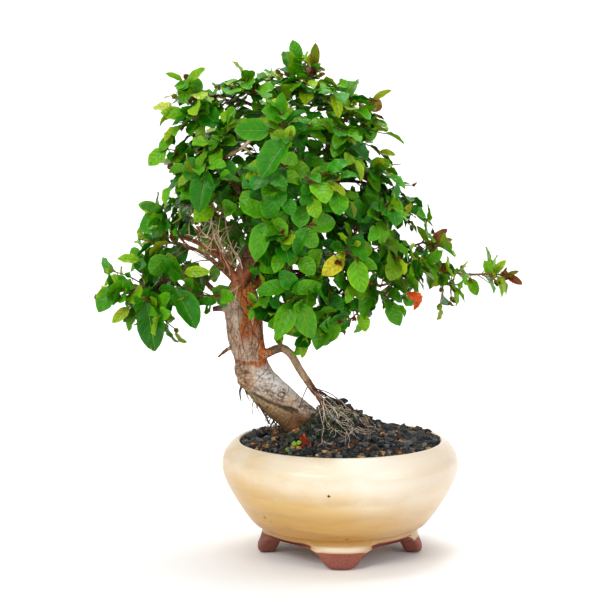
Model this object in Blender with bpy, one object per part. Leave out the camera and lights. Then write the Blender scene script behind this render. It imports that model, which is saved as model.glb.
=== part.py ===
"""Chinese sweet plum bonsai in its glazed bowl pot, as one standing part.

Run with: blender --background --python part.py
Shapes are worked out in millimetres round the pot's axis, with X to the viewer's right, Y away from
the viewer and Z up, and are put in the scene in metres. At the end everything moves together, so that
the origin lies under the middle of the whole plant, on the surface that the pot stands on.
"""

import math
import random

import bpy
from mathutils import Vector
from mathutils.bvhtree import BVHTree

# Driving dimensions, in millimetres
METRE = 0.001
GAP = 0.3
RIM_HEIGHT = 87.0
FOOT_HEIGHT = 16.0
FLOOR_TOP = 23.0
DRAIN_RADIUS = 8.0
POT_SIDES = 36

# Mound of soil
SOIL_EDGE = 82.4
SOIL_CROWN = 10.0
MOUND_HEIGHT = 22.0
MOUND_AT = (-6.0, 2.0)
MOUND_SPREAD = {"left": 22.0, "right": 27.0, "deep": 32.0}
SOIL_RINGS = (7.0, 17.0, 28.0, 39.0, 50.0, 61.0, 69.5)
SOIL_ROUGH = 1.1
SOIL_BOTTOM = FLOOR_TOP + 2.1

# Net over the drain hole
NET_THICK = 1.2
NET_RADIUS = 15.0
NET_PITCH = 4.0
NET_HOLE = 3.2

# Leaves and twigs
LEAF_LENGTH = 20.0
LEAF_THICK = 0.7
LEAVES_PER_SPRAY = 7
LEAF_OUTLINE = ((0.34, 0.30, 0.05), (0.72, 0.23, 0.02))
LEAF_DROOP = 0.12
STEM_LENGTH = 42.0
STEM_RADIUS = (0.95, 0.6)
TWIG_RADIUS = (0.65, 0.55)
TWIGS_PER_SPRAY = 2
NODE_SHARES = (0.34, 0.56, 0.78)
NODE_HALF = 0.45
TWIG_NODE = 0.55
BEND_TRIES = 140
BEND_STEP = 0.25
CROWN_CENTRE = Vector((-44.0, 4.0, 245.0))
SEED = 41

# The pot's half section above the feet, as (radius, height), up the outside
POT_OUTSIDE = (
    (67.5, 25.5),
    (78.5, 41.0),
    (87.0, 56.5),
    (90.0, 68.0),
    (88.4, 77.0),
    (84.0, 83.5),
    (79.4, RIM_HEIGHT),
)
POT_INSIDE = (
    (76.0, 85.6),
    (80.2, 77.6),
    (84.2, 68.5),
    (79.0, 51.5),
    (70.5, 38.0),
    (58.0, FLOOR_TOP),
)
# The feet, as (degrees from a foot's middle, height of the lower edge there)
FOOT_EDGE = ((0, 0.0), (10, 0.0), (20, 8.0), (30, 13.0), (40, 15.6), (45, FOOT_HEIGHT))
FOOT_OUTER = 62.5
FOOT_INNER = 44.0
FOOT_BATTER = 6.0
WAIST = (59.4, FOOT_HEIGHT + 4.2)

# Grown wood, each piece as points (x, y, z, radius) from its root to its end
TRUNK = (
    (4, 2, 66, 5.0),
    (-3, 2, 80, 7.0),
    (-15, 2, 95, 8.0),
    (-28, 1, 106.5, 8.6),
    (-39, 1, 115.5, 8.9),
    (-50, 1, 125, 9.8),
    (-61, 0, 133.5, 12.2),
    (-67, 0, 144, 12.6),
    (-70, 0, 154, 11.7),
    (-72.3, 0, 166, 11.3),
    (-75, 0, 181, 12.3),
    (-76, 0, 194, 12.2),
    (-74.5, 0, 204, 9.6),
    (-73, 0, 211, 6.5),
)
ROOT_LOBE = (
    (-23, -3, 66, 4.0),
    (-28, -4, 80, 5.6),
    (-34, -4, 93, 6.3),
    (-41.5, -4, 102.5, 6.7),
    (-49, -4, 109.5, 6.9),
    (-57, -3, 117, 7.0),
    (-65, -2, 128, 8.4),
)
KNOB = ((-64, -3, 133, 9.0), (-72, -4, 137, 7.0), (-76.5, -5, 137, 3.6))
AERIAL_ROOT = (
    (-64, -4, 150, 4.4),
    (-57, -6, 153, 3.4),
    (-49.4, -7, 156.6, 3.2),
    (-43, -8, 157.6, 3.1),
    (-36.5, -9, 152, 3.0),
    (-30.8, -10, 142, 2.9),
    (-25, -10.5, 133.5, 2.8),
    (-20, -11, 126, 2.2),
    (-15, -12, 119, 1.5),
    (-12.5, -12.5, 114, 1.2),
    (-11, -13, 104, 1.1),
)
ROOTLETS = (
    ((-22, -10.8, 129, 1.3), (-12, -14, 120, 0.9), (-4, -18, 112, 0.9), (0, -20, 101, 0.8)),
    ((-22, -10.8, 129, 1.3), (-10, -8, 124, 0.8), (2, -6, 116, 0.8), (12, -5, 100, 0.8)),
    ((-20, -11, 126, 1.3), (-16, -19, 112, 0.9), (-13, -26, 101, 0.9), (-11, -30, 92, 0.8)),
    ((-24, -10.6, 131, 1.2), (-28, -12, 122, 0.8), (-31, -14, 113, 0.8), (-32, -15, 99, 0.8)),
)
STUBS = (
    ((-72, -4, 160, 3.2), (-84, -6, 157.5, 1.8), (-93, -8, 150.5, 0.8)),
    ((-78, -3, 186, 3.6), (-90, -5, 188, 2.4), (-96.5, -6, 187, 1.9)),
    ((-78, -4, 195, 4.2), (-88, -6, 199, 3.2), (-90.5, -7, 202.5, 2.9)),
    ((-60, -8, 135, 3.0), (-52.5, -11, 137.5, 1.5), (-50.5, -11.5, 138.5, 1.0)),
    ((-63, -3, 262, 2.2), (-73, -22, 283, 1.5), (-84, -34, 299, 1.2), (-88, -36, 303, 1.1)),
)
BRANCHES = {
    "leader": (
        (-74, 0, 202, 8.6), (-72, -1, 215, 7.6), (-66, -2, 235, 5.6), (-59, -4, 265, 4.2),
        (-45, 0, 296, 3.1), (-34, 3, 326, 2.3), (-30, 1, 349, 1.5),
    ),
    "second_leader": (
        (-73, 4, 203, 7.2), (-69, 8, 216, 5.8), (-64, 18, 242, 4.0), (-54, 34, 268, 3.0),
        (-44, 48, 294, 2.0), (-40, 54, 312, 1.4),
    ),
    "left_upper": ((-62, -3, 256, 3.2), (-87, -13, 292, 2.1), (-108, -18, 318, 1.5)),
    "left_mid": ((-75, -2, 204, 4.0), (-101, -8, 228, 2.1), (-122, -12, 238, 1.5)),
    "left_lower": (
        (-77, 1, 190, 5.0), (-92, 4, 197, 3.4), (-106, 6, 209, 2.4), (-123, 4, 210, 1.9),
        (-144, 0, 204, 1.4),
    ),
    "right_lower": (
        (-70, -3, 202, 5.0), (-55, -10, 210, 3.4), (-36, -16, 212, 2.7), (-15, -22, 220, 2.1),
        (12, -24, 212, 1.6), (30, -20, 206, 1.3),
    ),
    "right_mid": (
        (-66, -2, 237, 4.0), (-44, -7, 248, 2.9), (-22, -8, 250, 2.4), (15, -5, 242, 1.9),
        (45, 0, 233, 1.5), (64, 2, 223, 1.3), (86, 1, 214, 1.1),
    ),
    "right_upper": ((-52, -2, 281, 3.0), (-16, -6, 304, 1.9), (8, -6, 320, 1.4)),
    "right_side": ((-60, -2, 262, 3.2), (-34, 5, 274, 2.3), (0, 11, 283, 1.7), (26, 12, 280, 1.3)),
    "top_left": ((-36, 2, 320, 2.3), (-66, -2, 340, 1.6), (-84, -6, 347, 1.2)),
    "front_low": ((-70, -4, 219, 3.6), (-62, -30, 232, 2.2), (-48, -54, 240, 1.5)),
    "front_high": ((-54, -2, 276, 3.0), (-50, -28, 292, 2.0), (-42, -50, 302, 1.4)),
    "front_left": ((-66, -3, 234, 3.0), (-88, -28, 258, 1.9), (-98, -44, 270, 1.4)),
    "back_low": ((-72, 6, 212, 3.8), (-74, 36, 228, 2.3), (-66, 66, 236, 1.6)),
    "back_right": ((-62, 21, 248, 2.8), (-28, 46, 256, 1.9), (0, 62, 254, 1.4)),
    "back_left": ((-65, 15, 236, 2.8), (-90, 38, 252, 1.8), (-106, 52, 260, 1.3)),
    "back_under": ((-70, 8, 208, 3.4), (-40, 34, 212, 2.1), (-8, 54, 208, 1.5)),
}
# Each leafy spray by the place that its stem grows to
SPRAYS = {
    "crest": (-37, -7, 366),
    "crest_bud": (-22, 5, 368),
    "crown_left": (-72, -10, 360),
    "crown_right": (6, -12, 344),
    "left_horn": (-117, -20, 348),
    "left_high": (-94, 10, 348),
    "left_shoulder": (-117, -16, 324),
    "left_brow": (-124, -8, 298),
    "left_cheek": (-112, 16, 280),
    "left_wing_high": (-134, -14, 256),
    "left_wing": (-140, 8, 238),
    "left_tip": (-168, -8, 200),
    "left_low": (-152, 8, 184),
    "left_drop": (-140, -14, 172),
    "left_inner": (-110, -20, 198),
    "left_back": (-146, 32, 214),
    "right_horn": (20, 4, 336),
    "right_high": (16, 16, 312),
    "right_brow": (24, -12, 294),
    "right_cheek": (36, 14, 276),
    "right_shoulder": (50, 2, 254),
    "right_bud": (70, 8, 238),
    "long_shoot": (122, -2, 213),
    "shoot_base": (84, -12, 204),
    "right_wing": (60, -20, 226),
    "right_low": (40, -10, 192),
    "right_drop": (12, -22, 186),
    "low_mid": (-10, -28, 177),
    "low_drop": (-28, -20, 170),
    "trunk_side": (-46, -14, 188),
    "front_high": (-42, -54, 334),
    "front_high_left": (-84, -44, 322),
    "front_high_right": (-2, -46, 322),
    "front_left": (-106, -50, 292),
    "front_mid": (-56, -82, 290),
    "front_mid_right": (-10, -76, 284),
    "front_right": (34, -52, 270),
    "front_low": (-40, -76, 246),
    "front_low_right": (4, -64, 240),
    "front_low_far": (40, -42, 230),
    "front_base": (-26, -50, 206),
    "back_high": (-50, 56, 336),
    "back_high_left": (-98, 44, 316),
    "back_high_right": (2, 48, 318),
    "back_left": (-118, 58, 270),
    "back_mid": (-66, 88, 282),
    "back_mid_right": (-14, 82, 276),
    "back_right": (36, 56, 258),
    "back_low_left": (-100, 72, 230),
    "back_low": (-48, 92, 234),
    "back_low_right": (14, 70, 222),
}
# Leaves of another colour, each on a twiglet past the end of a spray's side twig, as the spray, the
# side twig, and the blade's foot and tip
ODD_LEAVES = {
    "yellow_leaf": ("front_low_far", 0, (3, -50, 229), (-15, -56, 219)),
    "withered_leaf": ("front_low_far", 1, (49, -28, 203), (56, -33, 187)),
}
FALLEN_LEAF_AT = (-25.5, -43.0)
SEEDLING_AT = (-37.5, -46.0)
SEEDLING_LEAF = 4.6
SEEDLING_TOP = 5.2
SEEDLING_ROOT = 4.0


def srgb(red, green, blue):
    """A screen colour of 0 to 255 as a linear one."""
    return [((c / 255 + 0.055) / 1.055) ** 2.4 for c in (red, green, blue)] + [1.0]


def material(name, colour, roughness):
    """A Principled material of one colour."""
    made = bpy.data.materials.new(name)
    made.use_nodes = True
    shader = made.node_tree.nodes["Principled BSDF"]
    shader.inputs["Base Color"].default_value = srgb(*colour)
    shader.inputs["Roughness"].default_value = roughness
    shader.inputs["Metallic"].default_value = 0.0
    made.diffuse_color = srgb(*colour)
    return made


def mesh_object(name, shape, finish=None):
    """An object of a shape, which is (points in millimetres, faces)."""
    points, faces = shape
    mesh = bpy.data.meshes.new(name)
    mesh.from_pydata([Vector(p) * METRE for p in points], [], faces)
    mesh.update()
    made = bpy.data.objects.new(name, mesh)
    bpy.context.scene.collection.objects.link(made)
    if finish:
        mesh.materials.append(finish)
    return made


def apply_modifier(target, modifier):
    """Applies one modifier of an object."""
    bpy.ops.object.select_all(action="DESELECT")
    bpy.context.view_layer.objects.active = target
    target.select_set(True)
    bpy.ops.object.modifier_apply(modifier=modifier.name)


def boolean(target, shapes, operation):
    """Joins the shapes to the target, or cuts them from it, in one step."""
    group = bpy.data.collections.new("group")
    bpy.context.scene.collection.children.link(group)
    for index, shape in enumerate(shapes):
        piece = mesh_object(f"{target.name}_{index}", shape)
        bpy.context.scene.collection.objects.unlink(piece)
        group.objects.link(piece)
    modifier = target.modifiers.new("Join", "BOOLEAN")
    modifier.operation = operation
    modifier.operand_type = "COLLECTION"
    modifier.collection = group
    modifier.solver = "MANIFOLD"
    apply_modifier(target, modifier)
    for piece in list(group.objects):
        bpy.data.objects.remove(piece)
    bpy.data.collections.remove(group)


def fused(name, shapes, finish):
    """One object of shapes that overlap, joined."""
    made = mesh_object(name, shapes[0], finish)
    boolean(made, shapes[1:], "UNION")
    return made


def tube(path, sides, grow=0.0, knurl=0.0):
    """A closed tube along (x, y, z, radius) points, fattened by grow, with its sides waved by knurl."""
    centres = [Vector(p[:3]) for p in path]
    tangents = [
        (centres[min(i + 1, len(path) - 1)] - centres[max(i - 1, 0)]).normalized()
        for i in range(len(path))
    ]
    centres[0] -= tangents[0] * grow
    centres[-1] += tangents[-1] * grow
    across = tangents[0].orthogonal().normalized()
    points = []
    for i, (centre, tangent) in enumerate(zip(centres, tangents)):
        across = (across - tangent * across.dot(tangent)).normalized()
        beside = tangent.cross(across)
        for k in range(sides):
            angle = math.tau * k / sides
            wave = 1 + knurl * math.sin(3 * angle + 0.9 * i) * math.cos(1.7 * i)
            reach = path[i][3] * wave + grow
            points.append(centre + (across * math.cos(angle) + beside * math.sin(angle)) * reach)
    faces = []
    for i in range(len(path) - 1):
        for k in range(sides):
            a, b = i * sides + k, i * sides + (k + 1) % sides
            faces += [(a, b, b + sides), (a, b + sides, a + sides)]
    last = len(points) - sides
    faces += [(0, k + 1, k) for k in range(1, sides - 1)]
    faces += [(last, last + k, last + k + 1) for k in range(1, sides - 1)]
    return points, faces


def leaf_rows(base, along, normal, length, droop=LEAF_DROOP):
    """The blade's two widest rows and its tip, as (middle, half width) with the middle in space."""
    (near, near_half, near_rise), (far, far_half, far_rise) = LEAF_OUTLINE
    return [
        (base + (along * reach + normal * rise) * length, half * length)
        for reach, half, rise in (
            (near, near_half, near_rise), (far, far_half, far_rise), (1.0, 0.0, -droop)
        )
    ]


def leaf_room(base, along, normal, length, thick, start):
    """The room that a blade needs, as a thicker blade that starts a little way out."""
    side = normal.cross(along)
    rows = [(base + along * start * length, 0.04 * length)] + leaf_rows(base, along, normal, length)
    points = [
        middle + side * half * across + normal * thick / 2 * up
        for middle, half in rows for across, up in ((1, 1), (-1, 1), (-1, -1), (1, -1))
    ]
    faces = []
    for row in range(3):
        for k in range(4):
            a, b = 4 * row + k, 4 * row + (k + 1) % 4
            faces += [(a, b, b + 4), (a, b + 4, a + 4)]
    return points, faces


def place_along(axis, distance):
    """The point at a distance along a path, and the path's heading there."""
    for a, b in zip(axis, axis[1:]):
        span = (b - a).length
        if distance <= span or b is axis[-1]:
            return a.lerp(b, distance / span), (b - a).normalized()
        distance -= span


def path_length(axis):
    """Length of a path of points."""
    return sum((b - a).length for a, b in zip(axis, axis[1:]))


class Skin:
    """One closed surface, in which twigs and blades are drawn out of a stem's faces."""

    def __init__(self):
        self.points = []
        self.faces = []

    def add(self, corners):
        """Adds four corners, in turn round the way of growth, and gives their numbers."""
        self.points += corners
        return list(range(len(self.points) - 4, len(self.points)))

    def bridge(self, near, far, open_sides=()):
        """Joins two sections of four corners by their sides, apart from the sides left open."""
        for i in range(4):
            if i in open_sides:
                continue
            a, b, c, d = near[i], near[(i + 1) % 4], far[(i + 1) % 4], far[i]
            split = ((a, b, d), (b, c, d)) if i == 2 else ((a, b, c), (a, c, d))
            self.faces += [face for face in split if len(set(face)) == 3]

    def cap(self, quad):
        """Closes a section with a flat face that looks the way of growth."""
        self.faces += [(quad[0], quad[1], quad[2]), (quad[0], quad[2], quad[3])]

    def middle(self, quad):
        """Middle of a section."""
        return sum((self.points[i] for i in quad), Vector()) / 4

    def blade(self, quad, along, normal, length, droop=LEAF_DROOP):
        """Draws a leaf's blade out of a face."""
        base = self.middle(quad)
        side = normal.cross(along)
        rows = []
        for middle, half in leaf_rows(base, along, normal, length, droop):
            rows.append([
                middle + side * half * across + normal * LEAF_THICK / 2 * up
                for across, up in ((1, 1), (-1, 1), (-1, -1), (1, -1))
            ])
        shape = [(self.points[i] - base).normalized() for i in quad]

        def twist(turn):
            return sum(
                (shape[i] - (side * across + normal * up).normalized()).length_squared
                for i in range(4)
                for across, up in [((1, 1), (-1, 1), (-1, -1), (1, -1))[(i + turn) % 4]]
            )
        turn = min(range(4), key=twist)
        near, far = self.add(rows[0]), self.add(rows[1])
        self.points += [rows[2][0], rows[2][2]]
        top, bottom = len(self.points) - 2, len(self.points) - 1
        self.bridge(quad, [near[(i + turn) % 4] for i in range(4)])
        self.bridge(near, far)
        self.bridge(far, [top, top, bottom, bottom])

    def ring(self, centre, across, beside, radius):
        """Adds a square section round a point."""
        half = radius * math.sqrt(0.5)
        return self.add([
            centre + (across * a + beside * b) * half for a, b in ((1, 1), (-1, 1), (-1, -1), (1, -1))
        ])

    def shoot(self, quad, axis, radii, buds, end):
        """Draws a shoot out of a face, or starts one where quad is None.

        Each bud is (distance, direction, grow), and grow is called with the face that it gets. The
        shoot ends in what end grows from its last face, or flat where end is None.
        """
        total = path_length(axis)
        pairs = sorted({distance for distance, _, _ in buds})
        stops = [d + k * NODE_HALF for d in pairs for k in (-1, 1)]
        bends, run = [], 0.0
        for a, b in zip(axis, axis[1:]):
            bends.append(run)
            run += (b - a).length
        free = [d for d in bends[1:] + [total] if all(abs(d - s) > NODE_HALF for s in stops)]
        stops = sorted(stops + free + ([0.0] if quad is None else []))
        heading = (axis[1] - axis[0]).normalized()
        across = heading.orthogonal()
        if quad is not None:
            across = (self.points[quad[0]] + self.points[quad[3]]
                      - self.points[quad[1]] - self.points[quad[2]])
        last, before = quad, None
        for stop in stops:
            centre, heading = place_along(axis, stop)
            across = (across - heading * across.dot(heading)).normalized()
            radius = radii[0] + (radii[1] - radii[0]) * stop / total
            here = self.ring(centre, across, heading.cross(across), radius)
            if last is None:
                self.cap(here[::-1])
            else:
                self.bridge(last, here, self.open_faces(last, here, before, stop, buds))
            last, before = here, stop
        if end:
            end(last)
        else:
            self.cap(last)

    def open_faces(self, near, far, start, stop, buds):
        """Gives each bud between two sections the free side that looks its way most."""
        taken = []
        if start is None:
            return taken
        for distance, direction, grow in buds:
            if not start < distance < stop:
                continue
            axis_middle = (self.middle(near) + self.middle(far)) / 2
            faces = {}
            for i in range(4):
                if i not in taken:
                    faces[i] = [near[i], near[(i + 1) % 4], far[(i + 1) % 4], far[i]]
            best = max(faces, key=lambda i: (self.middle(faces[i]) - axis_middle).dot(direction))
            taken.append(best)
            grow(faces[best])
        return taken


def hung_leaf(axis, along, normal, length):
    """A twiglet with a leaf at its end."""
    skin = Skin()
    skin.shoot(None, axis, TWIG_RADIUS, [], lambda quad: skin.blade(quad, along, normal, length))
    return skin.points, skin.faces


def loose_blade(base, along, normal, length, droop=LEAF_DROOP):
    """A leaf by itself, cut off flat at its foot."""
    skin = Skin()
    quad = skin.ring(base, normal.cross(along), normal, 0.5)
    skin.cap(quad[::-1])
    skin.blade(quad, along, normal, length, droop)
    return skin.points, skin.faces


class Tree:
    """Lays out the wood, the stems and the leaves so that no spray crosses another."""

    def __init__(self):
        self.limbs = {}
        self.joints = []
        for path in BRANCHES.values():
            self.note_joints(path)
        self.routes = {}
        self.stems = {}
        self.twigs = {}
        self.cores = {}
        self.leaves = {name: [] for name in SPRAYS}
        self.odd = {}
        self.taken = []

    def note_joints(self, path):
        """Keeps the places along a piece of wood where a limb may start."""
        for before, after in zip(path, path[1:]):
            start, end = Vector(before[:3]), Vector(after[:3])
            for share in (0.5, 1.0):
                radius = before[3] + (after[3] - before[3]) * share
                self.joints.append((start.lerp(end, share), (end - start).normalized(), radius))

    def nearest_joint(self, tip):
        """The joint from which a limb reaches tip most readily."""
        def cost(joint):
            reach = tip - joint[0]
            back = max(0.0, -joint[1].dot(reach.normalized()))
            return reach.length * (1 + 0.6 * back) + 2 * max(0.0, 34 - reach.length)
        return min(self.joints, key=cost)

    def grow_limb(self, name, tip):
        """Runs a limb to tip: its first part is wood, and its outer part is the spray's stem."""
        start, heading, radius = self.nearest_joint(tip)
        reach = tip - start
        outward = (tip - CROWN_CENTRE).normalized()
        span = reach.length
        first = start + (heading * 0.45 + reach.normalized() * 0.55) * span * 0.33
        last = tip - (outward * 0.5 + reach.normalized() * 0.6) * span * 0.3
        route = []
        for step in range(13):
            t = step / 12
            u = 1 - t
            route.append(start * u**3 + first * 3 * u * u * t + last * 3 * u * t * t + tip * t**3)
        lengths = [0.0]
        for a, b in zip(route, route[1:]):
            lengths.append(lengths[-1] + (b - a).length)
        least = radius * 1.2 + 3.0
        split = next(
            i for i, length in enumerate(lengths)
            if length >= least and lengths[-1] - length <= min(STEM_LENGTH, 0.7 * lengths[-1])
        )
        self.routes[name] = [route, heading, min(0.85 * radius, 1.35), split]
        self.cut_limb(name)
        self.note_joints(self.limbs[name])

    def cut_limb(self, name):
        """Divides a limb's route into its wood and, just past the wood's flat end, its stem."""
        route, heading, thick, split = self.routes[name]
        end = STEM_RADIUS[0] + 0.1
        middle = max(1, round(split * 0.4))
        self.limbs[name] = [
            (*(route[0] - heading * 1.5), thick),
            (*route[middle], thick + (end - thick) * middle / split),
            (*route[split], end),
        ]
        onward = (route[split] - route[middle]).normalized()
        rest = route[split:]
        self.stems[name] = [rest[0] + onward * GAP, rest[0] + onward * 3.0] + [
            rest[round(share * (len(rest) - 1))] for share in (0.5, 1.0)
        ]

    def clear(self, shape, owner, kinds):
        """Whether a shape crosses nothing of those kinds that another owner has."""
        points, faces = shape
        tree = BVHTree.FromPolygons(points, faces)
        low = [min(p[k] for p in points) for k in range(3)]
        high = [max(p[k] for p in points) for k in range(3)]
        for kind, holder, other, other_low, other_high in self.taken:
            if kind not in kinds or (holder == owner and kind != "leaf"):
                continue
            if all(low[k] < other_high[k] and high[k] > other_low[k] for k in range(3)):
                if tree.overlap(other):
                    return False
        return True

    def take(self, shape, owner, kind):
        """Marks the room that a shape fills."""
        points, faces = shape
        low = [min(p[k] for p in points) for k in range(3)]
        high = [max(p[k] for p in points) for k in range(3)]
        self.taken.append((kind, owner, BVHTree.FromPolygons(points, faces), low, high))

    def tapered(self, points, radii, grow=0.0, skip=0):
        """A stem or twig as a tube with its radius falling evenly."""
        last = len(points) - 1
        path = [
            (*p, radii[0] + (radii[1] - radii[0]) * i / last) for i, p in enumerate(points)
        ]
        return tube(path[skip:], 3, grow)

    def bend_clear(self, name, points, radii, fixed, owner_kinds):
        """Bends the outer points of a stem or twig until it is clear of all others."""
        rng = random.Random(f"{SEED} bend {name}")
        for attempt in range(BEND_TRIES):
            reach = attempt * BEND_STEP
            shift = Vector([rng.uniform(-1, 1) for _ in range(3)]).normalized() * reach
            count = len(points) - fixed
            bent = points[:fixed] + [
                p + shift * (i + 1) / count for i, p in enumerate(points[fixed:])
            ]
            if self.clear(self.tapered(bent, radii, 0.55, 1), name.split("/")[0], owner_kinds):
                return bent
        return None

    def place_stems(self):
        """Settles every stem, then two side twigs on each."""
        for name in SPRAYS:
            while not self.clear(tube([(*p, STEM_RADIUS[0]) for p in self.stems[name][:2]], 3, 0.5),
                                 name, ("wood", "twig")):
                self.routes[name][3] += 1
                self.cut_limb(name)
            self.take(tube(self.limbs[name], 3, 0.3), name, "wood")
        for name in SPRAYS:
            bent = self.bend_clear(name, self.stems[name], STEM_RADIUS, 2, ("wood", "twig"))
            self.stems[name] = bent or self.stems[name]
            self.take(self.tapered(self.stems[name], STEM_RADIUS, 0.55), name, "twig")
        for name in SPRAYS:
            self.twigs[name] = {}
            self.cores[name] = [self.bvh(self.tapered(self.stems[name], STEM_RADIUS))]
            for index in range(TWIGS_PER_SPRAY):
                self.place_twig(name, index)

    def place_twig(self, name, index):
        """Grows one side twig from a spray's stem."""
        rng = random.Random(f"{SEED} twig {name} {index}")
        stem = self.stems[name]
        distance = path_length(stem) * NODE_SHARES[index]
        knot, heading = place_along(stem, distance)
        outward = (knot - CROWN_CENTRE).normalized()
        across = heading.cross(outward).normalized()
        turn = rng.uniform(-0.6, 0.6) + (math.pi if index % 2 else 0.0)
        length = rng.uniform(16, 23)
        for attempt in range(15):
            angle = turn + 0.3 * attempt * (-1) ** attempt
            sideways = across * math.cos(angle) + outward * math.sin(angle) * 0.8
            aim = (heading * 0.6 + sideways.normalized()).normalized()
            points = [knot, knot + aim * length]
            guard = self.tapered([knot + aim * 1.5, points[1]], TWIG_RADIUS, 0.55)
            if self.clear(guard, name, ("wood", "twig")) and not self.hits_own(guard, name):
                self.twigs[name][index] = (distance, points)
                self.take(guard, name, "twig")
                self.cores[name].append(self.bvh(self.tapered(points, TWIG_RADIUS)))
                return

    def bvh(self, shape):
        """A search tree of a shape."""
        return BVHTree.FromPolygons(*shape)

    def hits_own(self, shape, name):
        """Whether a shape crosses the stem or a twig of its own spray."""
        tree = self.bvh(shape)
        return any(tree.overlap(core) for core in self.cores[name])

    def leaf_sites(self, name):
        """The places in a spray where a leaf may grow, as (axis, distance, side), best first."""
        stem = path_length(self.stems[name])
        twigs = self.twigs[name]
        sites = [("stem", stem, 0)] + [(i, path_length(t[1]), 0) for i, t in twigs.items()]
        sites += [("stem", stem * share, (-1) ** i) for i, share in enumerate(NODE_SHARES[::-1])]
        sites += [(i, path_length(t[1]) * TWIG_NODE, 1) for i, t in twigs.items()]
        sites += [("stem", stem * NODE_SHARES[-1], -1)]
        return sites

    def leaf_at(self, name, site):
        """The base, direction, face and length of the leaf at a site."""
        axis_name, distance, side = site
        axis = self.stems[name] if axis_name == "stem" else self.twigs[name][axis_name][1]
        rng = random.Random(f"{SEED} leaf {name} {axis_name} {round(distance, 2)} {side}")
        here, heading = place_along(axis, distance)
        outward = (here - CROWN_CENTRE).normalized()
        jitter = Vector([rng.uniform(-1, 1) for _ in range(3)])
        normal = (outward * 0.95 + Vector((0, 0, 0.4)) + jitter * 0.45).normalized()
        beside = normal.cross(heading).normalized() * side
        lean = rng.uniform(0.75, 1.2)
        droop = Vector((0, 0, -1)) * rng.uniform(0.05, 0.5)
        along = (heading * (1.0 if side else 1.6) + beside * lean + droop).normalized()
        normal = (normal - along * normal.dot(along)).normalized()
        size = LEAF_LENGTH * rng.uniform(0.84, 1.16) * (1.0 if side else 0.84)
        return here, along, normal, size

    def place_odd_leaf(self, odd):
        """Hangs a leaf of another colour on a twiglet just past the end of a side twig."""
        name, index, foot, tip = ODD_LEAVES[odd]
        knot, end = self.twigs[name][index][1]
        heading = (end - knot).normalized()
        foot, tip = Vector(foot), Vector(tip)
        axis = [end + heading * GAP, end + heading * 1.5, foot]
        along = (tip - foot).normalized()
        normal = Vector((0, -1, 0.5))
        normal = (normal - along * normal.dot(along)).normalized()
        self.odd[odd] = (axis, along, normal, (tip - foot).length)
        self.take(self.tapered(axis[1:], TWIG_RADIUS, 0.55), odd, "twig")
        self.take(leaf_room(foot, *self.odd[odd][1:], 2.2, 0.0), odd, "leaf")

    def place_leaves(self):
        """Gives each spray its leaves, in rounds, so that all sides fill evenly."""
        for odd in ODD_LEAVES:
            self.place_odd_leaf(odd)
        waiting = {name: self.leaf_sites(name) for name in SPRAYS}
        for name, index, _, _ in ODD_LEAVES.values():
            waiting[name] = [s for s in waiting[name] if s[0] != index]
        for _ in range(LEAVES_PER_SPRAY):
            for name, sites in waiting.items():
                while sites:
                    site = sites.pop(0)
                    found = self.leaf_at(name, site)
                    room = leaf_room(*found, 1.9, 0.12)
                    blocked = self.hits_own(leaf_room(*found, 1.0, 0.25), name)
                    if not blocked and self.clear(room, name, ("wood", "twig", "leaf")):
                        self.take(room, name, "leaf")
                        self.leaves[name].append((site, found))
                        break

    def spray_shape(self, name):
        """A spray's stem, twigs and leaves as one closed surface."""
        skin = Skin()
        stem = self.stems[name]

        def grower(along, normal, size):
            return lambda quad: skin.blade(quad, along, normal, size)

        def parts_on(axis_name, axis):
            buds, end = [], None
            for (where, distance, side), (_, along, normal, size) in self.leaves[name]:
                if where == axis_name and side:
                    buds.append((distance, along, grower(along, normal, size)))
                elif where == axis_name:
                    end = grower(along, normal, size)
            return buds, end

        def twig_grower(index, axis):
            buds, end = parts_on(index, axis)
            return lambda quad: skin.shoot(quad, axis, TWIG_RADIUS, buds, end)

        buds, end = parts_on("stem", stem)
        for index, (distance, axis) in self.twigs[name].items():
            buds.insert(0, (distance, axis[1] - axis[0], twig_grower(index, axis)))
        skin.shoot(None, stem, STEM_RADIUS, buds, end)
        return skin.points, skin.faces

    def lay_out(self):
        """Works out the whole tree."""
        for name, tip in SPRAYS.items():
            self.grow_limb(name, Vector(tip))
        for shape in self.bough_shapes():
            self.take(shape, "wood", "wood")
        for name in SPRAYS:
            self.take(tube(self.limbs[name], 3), name, "wood")
        self.place_stems()
        self.place_leaves()

    def bough_shapes(self):
        """The trunk, the roots and the main branches as tubes that overlap where they join."""
        shapes = [
            tube(TRUNK, 12, knurl=0.06),
            tube(ROOT_LOBE, 9, knurl=0.05),
            tube(KNOB, 8, knurl=0.08),
            tube(AERIAL_ROOT, 7),
        ]
        shapes += [tube(path, 3) for path in ROOTLETS]
        shapes += [tube(path, 5) for path in STUBS]
        for path in BRANCHES.values():
            shapes.append(tube(path, 7 if path[0][3] > 6 else 5))
        return shapes

    def wood_shapes(self):
        """All the grown wood."""
        return self.bough_shapes() + [tube(path, 3) for path in self.limbs.values()]


def foot_edge(angle):
    """Height of the pot's lower edge at an angle, which is 0 under each of the four feet."""
    degrees = math.degrees(angle) % 90
    degrees = min(degrees, 90 - degrees)
    for (a, low), (b, high) in zip(FOOT_EDGE, FOOT_EDGE[1:]):
        if degrees <= b + 1e-6:
            return low + (high - low) * (degrees - a) / (b - a)
    return FOOT_HEIGHT


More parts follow.
